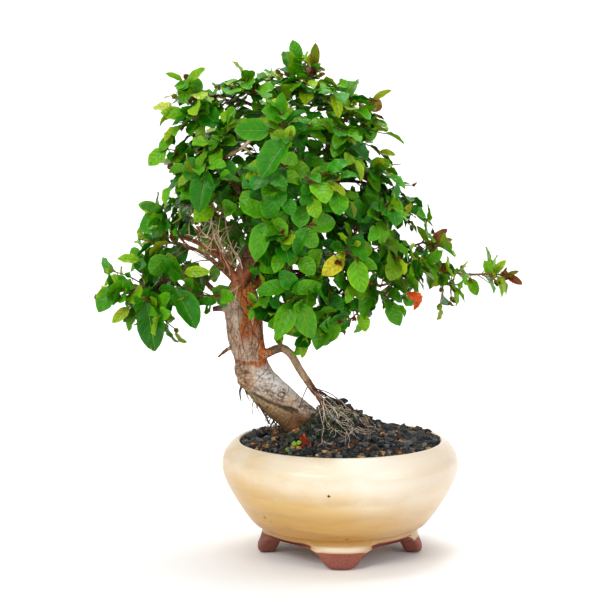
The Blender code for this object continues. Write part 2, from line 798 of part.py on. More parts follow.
def turned(profile_at, sides):
    """A ring-shaped solid: profile_at(angle) gives its closed section as (radius, height) points."""
    points, faces = [], []
    for k in range(sides):
        angle = math.tau * k / sides
        section = profile_at(angle)
        points += [(r * math.sin(angle), -r * math.cos(angle), z) for r, z in section]
    count = len(section)
    for k in range(sides):
        for i in range(count):
            a, b = k * count + i, k * count + (i + 1) % count
            c, d = (a + count) % len(points), (b + count) % len(points)
            faces += [(a, c, d), (a, d, b)]
    return points, faces


def build_pot(finish):
    """The bowl with its in-turned rim, four scalloped feet and drain hole."""
    def section(angle):
        edge = foot_edge(angle)
        swell = 1 - edge / FOOT_HEIGHT
        low = [
            (DRAIN_RADIUS, FLOOR_TOP),
            (DRAIN_RADIUS, FOOT_HEIGHT + 1),
            (FOOT_INNER - 2, FOOT_HEIGHT + 1),
            (FOOT_INNER, edge + 0.6 * (1 - swell)),
            (FOOT_OUTER - FOOT_BATTER * (1 - swell), edge),
            (FOOT_OUTER - 0.8 * FOOT_BATTER * (1 - swell) + 0.6 * swell, edge + 3.4 + 2 * swell),
            WAIST,
        ]
        return low + list(POT_OUTSIDE) + list(POT_INSIDE)
    pot = mesh_object("pot", turned(section, POT_SIDES), finish)
    pot.data.shade_smooth()
    pot.data.set_sharp_from_angle(angle=math.radians(40))
    return pot


def soil_height(x, y):
    """Height of the smooth mound."""
    across = MOUND_SPREAD["left" if x < MOUND_AT[0] else "right"]
    hill = math.exp(-((x - MOUND_AT[0]) / across) ** 2 - ((y - MOUND_AT[1]) / MOUND_SPREAD["deep"]) ** 2)
    bowl = 1 - (x * x + y * y) / 76.0**2
    return SOIL_EDGE + MOUND_HEIGHT * hill + SOIL_CROWN * bowl


def build_soil(finish, holes):
    """The mound of grit, which fills the bowl, with plain holes for the trunk and roots."""
    rng = random.Random(SEED)
    apothem = math.cos(math.pi / POT_SIDES)
    points = [(0.0, 0.0, soil_height(0, 0))]
    for radius in SOIL_RINGS:
        for k in range(POT_SIDES):
            angle = math.tau * k / POT_SIDES
            x, y = radius * math.sin(angle), -radius * math.cos(angle)
            near = min(math.dist((x, y), FALLEN_LEAF_AT), math.dist((x, y), SEEDLING_AT))
            rough = SOIL_ROUGH if near > 9 else 0.0
            points.append((x, y, soil_height(x, y) + rng.uniform(-1, 1) * rough))
    side = [(75.2, SOIL_EDGE + 0.4)] + [
        (r * apothem - GAP, max(z, SOIL_BOTTOM)) for r, z in POT_INSIDE[2:]
    ]
    for radius, z in side:
        for k in range(POT_SIDES):
            angle = math.tau * k / POT_SIDES
            points.append((radius * math.sin(angle), -radius * math.cos(angle), z))
    points.append((0.0, 0.0, SOIL_BOTTOM))
    rings = len(SOIL_RINGS) + len(side)
    faces = []
    for k in range(POT_SIDES):
        after = (k + 1) % POT_SIDES
        faces.append((0, 1 + k, 1 + after))
        for ring in range(rings - 1):
            a, b = 1 + ring * POT_SIDES + k, 1 + ring * POT_SIDES + after
            faces += [(a, a + POT_SIDES, b + POT_SIDES), (a, b + POT_SIDES, b)]
        last = 1 + (rings - 1) * POT_SIDES
        faces.append((len(points) - 1, last + after, last + k))
    soil = mesh_object("soil", (points, faces), finish)
    boolean(soil, holes, "DIFFERENCE")
    return soil


def build_drain_mesh(finish):
    """The plastic net over the drain hole, a round plate with a grid of square holes."""
    low, high = FLOOR_TOP + GAP, FLOOR_TOP + GAP + NET_THICK
    plate = tube([(0, 0, low, NET_RADIUS), (0, 0, high, NET_RADIUS)], 16)
    net = mesh_object("drain_mesh", plate, finish)
    cutters = []
    for i in (-1, 1):
        for j in (-1, 1):
            centre = (i * NET_PITCH, j * NET_PITCH)
            cutters.append(tube([(*centre, low - 1, NET_HOLE), (*centre, high + 1, NET_HOLE)], 4))
    boolean(net, cutters, "DIFFERENCE")
    return net


def build_fallen_leaf(finish):
    """A curled dry leaf that lies on the grit."""
    x, y = FALLEN_LEAF_AT
    slope = Vector((soil_height(x - 1, y) - soil_height(x + 1, y),
                    soil_height(x, y - 1) - soil_height(x, y + 1), 2.0)).normalized()
    along = slope.cross(Vector((0.5, 0.3, 1.0))).normalized()
    middle = Vector((x, y, soil_height(x, y))) + slope * 1.3
    return mesh_object(
        "fallen_leaf", loose_blade(middle - along * 5.5, along, slope, 11.0, -0.12), finish
    )


def seedling_shape():
    """A short stem with two pairs of small round leaves."""
    x, y = SEEDLING_AT
    ground = soil_height(x, y)
    skin = Skin()
    buds = []
    for height, turn in ((SEEDLING_TOP - 2.0, 0.2), (SEEDLING_TOP - 0.8, 1.5)):
        for side in (-1, 1):
            along = Vector((side * math.cos(turn), side * math.sin(turn) - 0.2, 0.15)).normalized()
            up = along.cross(Vector((0, 0, 1)).cross(along)).normalized()
            buds.append((SEEDLING_ROOT + height, along, seedling_blade(skin, along, up)))
    stem = [Vector((x, y, ground - SEEDLING_ROOT)), Vector((x, y, ground + SEEDLING_TOP))]
    skin.shoot(None, stem, (0.6, 0.5), buds, None)
    return skin.points, skin.faces


def seedling_blade(skin, along, up):
    """What draws one of the seedling's leaves out of the face that it gets."""
    return lambda quad: skin.blade(quad, along, up, SEEDLING_LEAF, 0.0)


def build_tree(finishes):
    """The wood, the sprays and the odd leaves, and the holes that the wood needs in the soil."""
    tree = Tree()
    tree.lay_out()
    fused("tree_wood", tree.wood_shapes(), finishes["bark"])
    for index, name in enumerate(SPRAYS):
        finish = finishes["leaf"][index % len(finishes["leaf"])]
        mesh_object(f"spray_{name}", tree.spray_shape(name), finish)
    for odd in ODD_LEAVES:
        mesh_object(odd, hung_leaf(*tree.odd[odd]), finishes[odd])
    buried = [tube(TRUNK[:6], 12, GAP + 0.1, 0.06), tube(ROOT_LOBE[:5], 9, GAP + 0.1, 0.05)]
    buried.append(tube(AERIAL_ROOT[7:], 7, GAP + 0.1))
    buried += [tube(path, 3, 2 * GAP) for path in ROOTLETS]
    x, y = SEEDLING_AT
    ground = soil_height(x, y)
    buried.append(tube([(x, y, ground - SEEDLING_ROOT, 0.6), (x, y, ground + 2, 0.6)], 6, 1.5 * GAP))
    return buried


def main():
    """Builds every piece, then stands the whole part on its origin."""
    for old in list(bpy.data.objects):
        bpy.data.objects.remove(old)
    finishes = {
        "bark": material("plum_bark", (150, 124, 100), 0.85),
        "leaf": [
            material("leaf_green", (58, 128, 28), 0.45),
            material("leaf_deep", (38, 104, 22), 0.45),
            material("leaf_young", (96, 150, 36), 0.45),
        ],
        "yellow_leaf": material("leaf_yellow", (206, 190, 50), 0.5),
        "withered_leaf": material("leaf_withered", (205, 84, 32), 0.6),
    }
    holes = build_tree(finishes)
    build_pot(material("cream_glaze", (236, 222, 190), 0.3))
    build_soil(material("dark_grit", (58, 54, 52), 0.95), holes)
    build_drain_mesh(material("drain_net", (40, 40, 42), 0.6))
    build_fallen_leaf(material("leaf_fallen", (142, 52, 28), 0.7))
    mesh_object("seedling", seedling_shape(), material("seedling_green", (128, 180, 48), 0.5))
    pieces = [piece for piece in bpy.data.objects if piece.type == "MESH"]
    corners = [point.co for piece in pieces for point in piece.data.vertices]
    middle = [(min(c[k] for c in corners) + max(c[k] for c in corners)) / 2 for k in range(2)]
    stand = bpy.data.objects.new("stand_point", None)
    bpy.context.scene.collection.objects.link(stand)
    stand.location = (-middle[0], -middle[1], 0.0)
    for piece in pieces:
        piece.parent = stand


main()
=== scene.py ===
"""Dresses the chinese sweet plum bonsai and its bowl pot round their solids.

The layout is worked out in millimetres round the pot's axis, with X to the viewer's right, Y away from
the viewer and Z up, and `placed` turns its points into the metres of the scene.
"""
import logging
import math
import random
from collections.abc import Callable, Iterable, Sequence
from dataclasses import dataclass, field
from enum import Enum

import bmesh
import bpy
from mathutils import Matrix, Vector
from mathutils.bvhtree import BVHTree


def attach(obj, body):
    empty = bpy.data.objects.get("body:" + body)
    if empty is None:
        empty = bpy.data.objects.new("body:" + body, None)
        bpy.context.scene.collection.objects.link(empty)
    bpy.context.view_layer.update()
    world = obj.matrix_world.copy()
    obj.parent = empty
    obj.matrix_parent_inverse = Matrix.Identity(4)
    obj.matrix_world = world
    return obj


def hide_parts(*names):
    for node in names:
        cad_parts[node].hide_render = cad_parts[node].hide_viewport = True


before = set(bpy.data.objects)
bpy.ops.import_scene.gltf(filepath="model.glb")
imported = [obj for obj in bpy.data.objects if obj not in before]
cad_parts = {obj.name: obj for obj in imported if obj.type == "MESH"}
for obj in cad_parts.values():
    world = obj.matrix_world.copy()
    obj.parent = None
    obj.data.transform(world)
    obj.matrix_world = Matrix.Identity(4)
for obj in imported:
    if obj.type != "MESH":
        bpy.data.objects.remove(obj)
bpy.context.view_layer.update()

LOG = logging.getLogger("bonsai")

METRE = 0.001
STAND = Vector((23.73587, -4.11196, 0.0))
GAP = 0.3
SEED = 41
UP = Vector((0.0, 0.0, 1.0))

Triple = tuple[float, float, float]
Quad = tuple[float, float, float, float]
Shape = tuple[list, list]
Stops = Sequence[tuple[float, Quad]]
Piece = bpy.types.Object


def hue(red: int, green: int, blue: int) -> Quad:
    """A screen colour, each part from 0 to 255, as a linear one with an opaque alpha."""
    return tuple(((c / 255 + 0.055) / 1.055) ** 2.4 for c in (red, green, blue)) + (1.0,)


def placed(point: Sequence[float]) -> Vector:
    """Where a point of the layout lies in the scene, in metres."""
    return (Vector(point[:3]) + STAND) * METRE


def draws(name: str) -> random.Random:
    """The random draws that belong to a name, the same in each run."""
    return random.Random(f"{SEED} {name}")


def anywhere(rng: random.Random) -> Vector:
    """A random vector within a cube of two units."""
    return Vector([rng.uniform(-1, 1) for _ in range(3)])


def ringed(axis: Vector, angle: float) -> Vector:
    """A unit vector square to an axis, at an angle round it."""
    side = axis.orthogonal().normalized()
    return side * math.cos(angle) + axis.cross(side) * math.sin(angle)


def outward(point: Vector) -> Vector:
    """The way from the crown's centre to a point."""
    return (point - CROWN_CENTRE).normalized()


def squared(normal: Vector, along: Vector) -> Vector:
    """A unit vector square to another one, as near as can be to the wanted one."""
    return (normal - along * normal.dot(along)).normalized()


# Shader maths


class Socket:
    """An output of a material's nodes, on which Python arithmetic adds Math nodes."""

    def __init__(self, board: "Board", output: bpy.types.NodeSocket) -> None:
        """Keeps an output and the board that it is on."""
        self.board = board
        self.output = output

    def maths(self, operation: str, *others: "Socket | float") -> "Socket":
        """The result of a Math node that takes this value and then the others."""
        return self.board.add("ShaderNodeMath", 0, dict(enumerate((self, *others))), operation=operation)

    def __add__(self, other: "Socket | float") -> "Socket":
        """Sum."""
        return self.maths("ADD", other)

    __radd__ = __add__

    def __sub__(self, other: "Socket | float") -> "Socket":
        """Difference."""
        return self.maths("SUBTRACT", other)

    def __rsub__(self, other: float) -> "Socket":
        """Difference from a number."""
        return self.board.add("ShaderNodeMath", 0, {0: other, 1: self}, operation="SUBTRACT")

    def __mul__(self, other: "Socket | float") -> "Socket":
        """Product."""
        return self.maths("MULTIPLY", other)

    __rmul__ = __mul__

    def __truediv__(self, other: "Socket | float") -> "Socket":
        """Quotient."""
        return self.maths("DIVIDE", other)

    def __abs__(self) -> "Socket":
        """Size without sign."""
        return self.maths("ABSOLUTE")

    def most(self, other: "Socket | float") -> "Socket":
        """The larger of two values."""
        return self.maths("MAXIMUM", other)

    def step(self, low: float, high: float) -> "Socket":
        """A soft step from 0 at low to 1 at high, which may be the lower of the two."""
        ends = {"Value": self, "From Min": low, "From Max": high}
        return self.board.add("ShaderNodeMapRange", 0, ends, interpolation_type="SMOOTHSTEP")


class Board:
    """The nodes of one material."""

    def __init__(self, name: str) -> None:
        """Starts the material of a finish, whose name is given.

        Args:
            name: The finish's name.
        """
        self.material = bpy.data.materials.new(f"{name}_finish")
        self.material.use_nodes = True
        self.tree = self.material.node_tree
        self.shader = self.tree.nodes["Principled BSDF"]
        self.place = self.add("ShaderNodeTexCoord", "Object")

    def add(self, kind: str, output: int | str, sockets: dict | None = None, **settings: object) -> Socket:
        """Adds any node.

        Args:
            kind: The node's type.
            output: Name or number of the output that is wanted.
            sockets: Values or links for its sockets, by name or number.
            settings: Its own settings, with a ramp's stops as (place, colour) pairs.

        Returns:
            The output.
        """
        node = self.tree.nodes.new(kind)
        for key, value in settings.items():
            if key == "stops":
                elements = node.color_ramp.elements
                elements.remove(elements[1])
                elements[0].position, elements[0].color = value[0]
                for spot, colour in value[1:]:
                    elements.new(spot).color = colour
            else:
                setattr(node, key, value)
        self.feed(node, sockets or {})
        return Socket(self, node.outputs[output])

    def feed(self, node: bpy.types.Node, sockets: dict) -> None:
        """Links or sets a node's sockets.

        Args:
            node: The node.
            sockets: Links or values, by the socket's name or number.
        """
        for key, value in sockets.items():
            if isinstance(value, Socket):
                self.tree.links.new(value.output, node.inputs[key])
            else:
                node.inputs[key].default_value = value

    def stretched(self, scale: Triple) -> Socket:
        """Object coordinates after a scale along each axis."""
        return self.add("ShaderNodeMapping", 0, {"Vector": self.place, "Scale": scale})

    def noise(self, scale: float, detail: float = 3.0, where: Socket | None = None) -> Socket:
        """Cloudy noise from 0 to 1, with so many lumps to a metre and finer layers on them."""
        spread = {"Vector": where or self.place, "Scale": scale, "Detail": detail}
        return self.add("ShaderNodeTexNoise", "Fac", spread)

    def cells(self, scale: float, feature: str, where: Socket | None = None) -> Socket:
        """Distances in a cell pattern: F1 gives round spots, and DISTANCE_TO_EDGE cracks."""
        spread = {"Vector": where or self.place, "Scale": scale}
        return self.add("ShaderNodeTexVoronoi", "Distance", spread, feature=feature)

    def cell_tones(self, scale: float, where: Socket) -> Socket:
        """A random number from 0 to 1 for each cell of a pattern."""
        return self.split(self.add("ShaderNodeTexVoronoi", "Color", {"Vector": where, "Scale": scale}))[0]

    def joined(self, *values: Socket) -> Socket:
        """A vector of three numbers."""
        return self.add("ShaderNodeCombineXYZ", 0, dict(enumerate(values)))

    def split(self, value: Socket) -> list[Socket]:
        """The three parts of a vector."""
        node = self.add("ShaderNodeSeparateXYZ", 0, {0: value}).output.node
        return [Socket(self, output) for output in node.outputs]

    def millimetres(self) -> list[Socket]:
        """The layout's own X, Y and Z of a point."""
        x, y, z = self.split(self.place)
        return [x * 1000 - STAND.x, y * 1000 - STAND.y, z * 1000]

    def tone(self) -> list[Socket]:
        """The three numbers that each copy of a repeated piece carries."""
        return self.split(self.add("ShaderNodeAttribute", "Color", attribute_name="tone"))

    def ramp(self, value: Socket, stops: Stops) -> Socket:
        """A colour that changes with a value."""
        return self.add("ShaderNodeValToRGB", 0, {0: value}, stops=stops)

    def mix(self, share: "Socket | float", first: "Socket | Quad", second: "Socket | Quad") -> Socket:
        """A blend from the first colour, at a share of 0, to the second."""
        return self.add("ShaderNodeMix", 2, {"Factor": share, 6: first, 7: second}, data_type="RGBA")

    def finish(
        self, colour: Socket, roughness: "Socket | float", height: Socket | None = None,
        depth: float = 0.0005, **constants: float,
    ) -> bpy.types.Material:
        """Feeds the shader.

        Args:
            colour: Base colour.
            roughness: Roughness.
            height: Relief from 0 to 1.
            depth: Depth of the relief in metres.
            constants: Other sockets' values, with _ for a space.

        Returns:
            The material.
        """
        fed = {key.replace("_", " "): value for key, value in constants.items()}
        fed |= {"Base Color": colour, "Roughness": roughness}
        if height:
            fed["Normal"] = self.add("ShaderNodeBump", 0, {"Height": height, "Distance": depth})
        self.feed(self.shader, fed)
        return self.material


# Finishes


@dataclass(frozen=True)
class LeafFinish:
    """A soft-shining leaf with a pale midrib and sunken side veins."""

    name: str
    stops: Stops
    autumn: Quad = hue(118, 44, 22)
    # A dark green for painted shade and for darker leaves.
    dark_tone_and_shade: Quad = hue(8, 62, 0)
    vein: Quad = hue(146, 190, 60)
    scorch: Quad = hue(120, 52, 22)
    blotch: float = 0.0
    shine: float = 0.3
    pairs: float = 5.6

    def make(self) -> bpy.types.Material:
        """Builds the material.

        Returns:
            The material.
        """
        board = Board(self.name)
        across, along, _ = board.split(board.add("ShaderNodeUVMap", 0, uv_map="UVMap"))
        youth, shade, rust = board.tone()
        side = abs(across - 0.5) * 2
        rib = side.step(0.07, 0.02)
        sweep = ((along - side * 0.26) * self.pairs).maths("FRACT")
        veins = abs(sweep - 0.5).step(0.1, 0.02) * side.step(1.0, 0.75) * along.step(0.1, 0.2)
        mottle = board.noise(160) - 0.5
        base = board.ramp(youth + mottle * 0.35 + side.step(0.6, 1.0) * 0.12, self.stops)
        # Painted shade: the tone's second share darkens the green, most inside the crown, on top of a random
        # darker tone.
        base = board.mix(shade * 0.58, base, self.dark_tone_and_shade)
        base = board.mix((rust + mottle * 0.5).step(0.25, 0.8), base, self.autumn)
        if self.blotch:
            base = board.mix(board.noise(240, 2).step(0.56, 0.66) * self.blotch, base, self.scorch)
        base = board.mix(rib.most(veins * 0.34) * 0.42, base, self.vein)
        quilt = board.noise(420, 2)
        height = 1.0 - veins * 0.6 - rib * 0.8 + quilt * 0.35
        return board.finish(
            base, quilt * 0.2 + self.shine, height, 0.0007,
            Coat_Weight=0.05, Coat_Roughness=0.2, Specular_IOR_Level=0.2,
        )


@dataclass(frozen=True)
class TwigFinish:
    """Thin young wood, green-brown to rust, or pale where it is dead."""

    name: str
    stops: Stops

    def make(self) -> bpy.types.Material:
        """Builds the material.

        Returns:
            The material.
        """
        board = Board(self.name)
        grain = board.noise(900, 2)
        streaks = board.noise(90, 4, board.stretched((1, 1, 0.5))) + (grain - 0.5) * 0.4
        return board.finish(board.ramp(streaks, self.stops), 0.75, grain, 0.0003)


class BarkBoard(Board):
    """The nodes of the bark, with the places and patterns that its zones share."""

    def __init__(self, name: str) -> None:
        """Lays the shared patterns.

        Args:
            name: The finish's name.
        """
        super().__init__(name)
        self.x, _, self.z = self.millimetres()
        self.wobble = self.noise(70) - 0.5
        self.fine = self.noise(520, 4)
        self.tall = self.stretched((1, 1, 0.4))
        self.streaks = self.noise(110, 5, self.tall)
        self.flakes = self.cell_tones(150, self.tall)
        self.course = self.x * 0.77 - self.z * 0.64
        self.groove = 122.8 - (self.x + 66) * 0.4144 - self.z


@dataclass(frozen=True)
class BarkFinish:
    """Flaking bark: pale plates over rust on the upright trunk, silver-grey where it leans, and an
    olive-brown, ringed root lobe under it."""

    name: str = "plum_bark"
    plate: Quad = hue(168, 136, 112)
    plate_dark: Quad = hue(112, 86, 68)
    plate_pale: Quad = hue(198, 178, 158)
    rust: Quad = hue(164, 84, 28)
    rust_dark: Quad = hue(96, 42, 16)
    rust_pale: Quad = hue(206, 116, 44)
    silver: Quad = hue(174, 160, 147)
    silver_dark: Quad = hue(112, 94, 78)
    silver_pale: Quad = hue(212, 206, 200)
    tan: Quad = hue(176, 134, 90)
    olive: Quad = hue(114, 84, 52)
    olive_dark: Quad = hue(54, 36, 22)
    olive_pale: Quad = hue(146, 122, 84)
    lobe_top: Quad = hue(172, 152, 118)
    lobe_foot: Quad = hue(104, 56, 36)
    fold_brown: Quad = hue(126, 84, 54)
    fold_pale: Quad = hue(206, 184, 160)
    # Dark colour of cracks, seams and dots, also laid in the groove under the leaning trunk as painted
    # shade.
    crack_and_shade: Quad = hue(54, 36, 26)
    limb: Stops = ((0.3, hue(58, 34, 22)), (0.5, hue(112, 70, 44)), (0.72, hue(160, 120, 88)))

    def make(self) -> bpy.types.Material:
        """Builds the material.

        Returns:
            The material.
        """
        board = BarkBoard(self.name)
        x, z, fine, wobble, streaks = board.x, board.z, board.fine, board.wobble, board.streaks
        there = z + wobble * 14
        base = board.mix(self.strips(board, there) * 0.92, self.upright(board), self.reds(board))
        base = board.mix(there.step(148, 138), base, self.leaning(board))
        under = (board.groove + wobble * 5).step(-1.0, 1.6) * z.step(132, 126)
        base = board.mix(under, base, self.lobe(board))
        # Painted shade: the groove between the root lobe and the leaning trunk is darkened with the colour
        # of the bark's cracks.
        groove = abs(board.groove + wobble * 5).step(2.2, 0.2)
        groove = groove * x.step(-70, -64) * x.step(-28, -34) * z.step(132, 126)
        base = board.mix(groove * 0.85, base, self.crack_and_shade)
        knob = (x + 66 + wobble * 8).step(0, -7) * abs(z - 138).step(14, 7)
        base = board.mix(knob * 0.85, base, self.knob(board))
        wood = board.ramp(streaks + (fine - 0.5) * 0.7, self.limb)
        base = board.mix(z.step(210, 228), base, wood)
        limb = (abs(x + 73) - 15.0).step(0, 7) * z.step(158, 176)
        limb = limb.most((x + 83.5).step(0, -3) * z.step(168, 163) * z.step(144, 148))
        base = board.mix(limb * 0.92, base, wood)
        plates = board.cells(150, "DISTANCE_TO_EDGE", board.tall)
        crust = board.cells(340, "DISTANCE_TO_EDGE")
        cracks = plates.step(0.04, 0.005).most(crust.step(0.024, 0.0) * 0.5) * there.step(142, 152)
        base = board.mix(cracks * 0.5, base, self.crack_and_shade)
        scaly = (plates.step(0.0, 0.1) * 0.6 + board.flakes * 0.4) * there.step(132, 150)
        height = fine * 0.6 + scaly + crust.step(0.0, 0.1) * there.step(126, 140) * 0.2
        return board.finish(base, 0.88, height - groove, 0.0013, Specular_IOR_Level=0.2)

    def reds(self, board: BarkBoard) -> Socket:
        """The rust under the plates."""
        shade = board.fine + (board.flakes - 0.5) * 0.3
        return board.ramp(shade, ((0.25, self.rust_dark), (0.5, self.rust), (0.78, self.rust_pale)))

    def strips(self, board: BarkBoard, there: Socket) -> Socket:
        """Where the rust shows: in strips up the trunk, down its right side and in a ring at its bend.

        Args:
            board: The bark's nodes.
            there: Height with a wavering edge.

        Returns:
            The share of rust.
        """
        x, z, fine, wobble = board.x, board.z, board.fine, board.wobble
        streaks = (board.streaks - 0.5) * 9
        grain = board.noise(130, 4, board.stretched((1, 1, 0.26))) + (fine - 0.5) * 0.2
        right = ((x + 74 - (z - 150) * 0.02).step(-6, 9) - 0.4) * 0.16
        strips = (grain + right).step(0.52, 0.6) * there.step(158, 172)
        band = abs(x + 71.2 + (z - 183) * 0.13 + streaks * 2 + wobble * 6).step(5.6, 3.4)
        band = band * there.step(160, 168) * (fine + board.flakes * 0.4).step(0.36, 0.6)
        edge = (x + 63.5 + wobble * 6).step(0, 3) * z.step(140, 146) * z.step(178, 168)
        ring = abs(z + wobble * 18 + streaks - 147.8).step(2.6, 0.6) * board.flakes.step(0.08, 0.24)
        upper = there.step(190, 206) * (fine + board.flakes).step(0.5, 0.9)
        return strips.most(band).most(ring).most(edge).most(upper * 0.8)

    def upright(self, board: BarkBoard) -> Socket:
        """Pale plates of the upright trunk, with narrow brown fissures.

        Args:
            board: The bark's nodes.

        Returns:
            The colour.
        """
        shade = board.streaks * 0.7 + board.flakes * 0.22 + (board.fine - 0.5) * 0.45 + 0.06
        plates = board.ramp(shade, ((0.28, self.plate_dark), (0.46, self.plate), (0.7, self.plate_pale)))
        fissures = abs(board.noise(210, 3, board.stretched((1, 1, 0.22))) - 0.5).step(0.026, 0.004)
        return board.mix(fissures * 0.65, plates, self.rust_dark)

    def leaning(self, board: BarkBoard) -> Socket:
        """Silver-grey, nearly smooth bark, lighter along its top as a painted highlight, with tan patches,
        rings, dots and the eye of a lost twig.

        Args:
            board: The bark's nodes.

        Returns:
            The colour.
        """
        x, z, wobble, over = board.x, board.z, board.wobble, board.groove * -1.0
        grain = board.noise(1.0, 4, board.joined(board.course * 0.12, over * 0.42, wobble * 3))
        # Painted highlight: the bark higher above the groove, along the leaning trunk's top, is lighter.
        shade = board.fine + wobble * 0.7 + (grain - 0.5) * 1.1 + over.step(6, 15) * 0.2 - 0.08
        grey = board.ramp(shade, ((0.24, self.silver_dark), (0.46, self.silver), (0.72, self.silver_pale)))
        tans = (grain + wobble * 0.5).step(0.5, 0.66) * over.step(16, 6)
        tans = tans.most((x + 58 + wobble * 20).step(0, -12) * 0.75).most(over.step(4, 1) * 0.5)
        grey = board.mix(tans * 0.8, grey, self.tan)
        eye = ((x + 44.8) * (x + 44.8) + (z - 122.4) * (z - 122.4) * 1.6).maths("SQRT")
        grey = board.mix(abs(eye + wobble * 3 - 2.2).step(0.9, 0.2) * 0.8, grey, self.crack_and_shade)
        rings = (board.course * 0.55 + wobble * 10).maths("SINE").step(0.93, 1.0)
        grey = board.mix(rings * 0.75, grey, self.silver_dark)
        dots = board.cells(210, "F1", board.stretched((1, 1, 1.6))).step(0.17, 0.08)
        return board.mix(dots * 0.7, grey, self.crack_and_shade)

    def lobe(self, board: BarkBoard) -> Socket:
        """Olive-brown bark of the root lobe, with fine rings.

        Args:
            board: The bark's nodes.

        Returns:
            The colour.
        """
        x, z, fine = board.x, board.z, board.fine
        course = board.joined(board.course * 0.8, (x * 0.64 + z * 0.77) * 0.12, board.wobble * 2)
        shade = board.noise(1.0, 3, course) * 0.6 + fine * 0.4
        bark = board.ramp(shade, ((0.3, self.olive_dark), (0.52, self.olive), (0.8, self.olive_pale)))
        bark = board.mix(board.groove.step(8, 1) * fine.step(0.3, 0.6) * 0.7, bark, self.lobe_top)
        return board.mix((x + 46).step(0, 18) * 0.6, bark, self.lobe_foot)

    def knob(self, board: BarkBoard) -> Socket:
        """Folded bark of the knob, with dark seams.

        Args:
            board: The bark's nodes.

        Returns:
            The colour.
        """
        folds = board.noise(130, 4, board.stretched((0.5, 1, 1.5))) + (board.fine - 0.5) * 0.5
        stops = ((0.36, self.crack_and_shade), (0.46, self.fold_brown), (0.62, self.plate), (0.8, self.fold_pale))
        bark = board.ramp(folds, stops)
        seams = board.cells(150, "DISTANCE_TO_EDGE", board.stretched((0.8, 1, 1.3))).step(0.1, 0.02)
        return board.mix(seams * 0.8, bark, self.crack_and_shade)


@dataclass(frozen=True)
class GlazeFinish:
    """Cream stoneware glaze with throwing rings, specks and a pit, over bare clay on the feet. It turns
    browner low down and on the left, partly its own colour and partly painted shade and warm reflection,
    with painted light on its right side and just above its edge on the front feet.
    """

    name: str = "cream_glaze"
    cream: Quad = hue(232, 223, 205)
    beige_and_shade: Quad = hue(210, 171, 102)
    ochre_and_shade: Quad = hue(178, 124, 38)
    right: Quad = hue(208, 184, 156)
    ring: Quad = hue(206, 176, 128)
    speck: Quad = hue(120, 84, 50)
    pit: Quad = hue(40, 28, 22)
    lip: Quad = hue(250, 246, 232)
    clay: Quad = hue(140, 74, 56)
    clay_dark: Quad = hue(98, 47, 36)
    pits: tuple[Quad, ...] = (
        (-9.7, 61.6, 1.1, 1.0), (-56.5, 37.5, 1.2, 0.6), (4.0, 24.6, 1.0, 0.6), (-52.0, 35.0, 0.8, 0.4),
    )
    glaze_foot: float = 12.2

    def make(self) -> bpy.types.Material:
        """Builds the material.

        Returns:
            The material.
        """
        board = Board(self.name)
        x, y, z = board.millimetres()
        cloud = board.noise(16)
        drift = board.noise(34, 4, board.stretched((1, 1, 2.6)))
        grain = board.noise(700)
        # Partly the glaze's own colour, partly painted shade: the lower part and the left side go browner.
        low = z.step(82, 26) * 0.72 + (x + y * 0.2).step(40, -84) * 0.5
        low = (low + (cloud - 0.5) * 0.7 + (drift - 0.5) * 0.5).step(0.12, 0.95)
        base = board.mix(low, self.cream, self.beige_and_shade)
        # Partly the glaze's own colour, partly painted shade and painted warm reflection: the bottom and the
        # lower left go darker and warmer.
        ochre_and_shade = ((z + (cloud - 0.5) * 16).step(54, 22) * 0.82).most((x + z * 0.5).step(-34, -66) * 0.6)
        base = board.mix(ochre_and_shade, base, self.ochre_and_shade)
        # Painted light: the right side of the pot is turned greyer and less yellow.
        base = board.mix(x.step(4, 84) * 0.66, base, self.right)
        rings = ((z + (drift - 0.5) * 14 + (cloud - 0.5) * 10) * 0.44).maths("SINE")
        base = board.mix(rings.step(-0.4, 1.0) * cloud.step(0.3, 0.6) * 0.16, base, self.ring)
        specks = board.cells(260, "F1").step(0.1, 0.05) * board.noise(60, 2).step(0.42, 0.6)
        base = board.mix(specks * 0.55, base, self.speck)
        front = y.step(-20, -40)
        for pit_x, pit_z, size, strength in self.pits:
            reach = abs(x - pit_x) + abs(z - pit_z) + (grain - 0.5) * 0.9
            base = board.mix(reach.step(size * 1.5, size * 0.8) * front * strength, base, self.pit)
        foot = abs((x.maths("ARCTAN2", y) / (math.pi / 2)).maths("FRACT") - 0.5).step(0.18, 0.4)
        edge = ((1.0 - foot) * 16.2 + 2.3).most(x.step(-24, -44) * 4.4 + self.glaze_foot)
        over = z - edge - (cloud - 0.5) * 2.2
        bare = over.step(0.4, -0.4)
        # Painted highlight, partly the paler pooled glaze: a light band just above the glaze's edge on the
        # feet facing the front.
        lip = abs(over - 2.4).step(3.0, 0.6) * foot * y.step(-20, -50)
        base = board.mix(lip * 0.55, base, self.lip)
        clay = board.mix((grain * 0.5 + cloud * 0.5).step(0.3, 0.6), self.clay_dark, self.clay)
        rough = bare * 0.45 + 0.3 + (grain - 0.5) * 0.12
        height = rings * 0.3 + cloud * 0.6 + grain * 0.06 + bare * grain * 0.3
        base = board.mix(bare, base, clay)
        return board.finish(base, rough, height, 0.0012, Coat_Weight=0.06, Coat_Roughness=0.25)


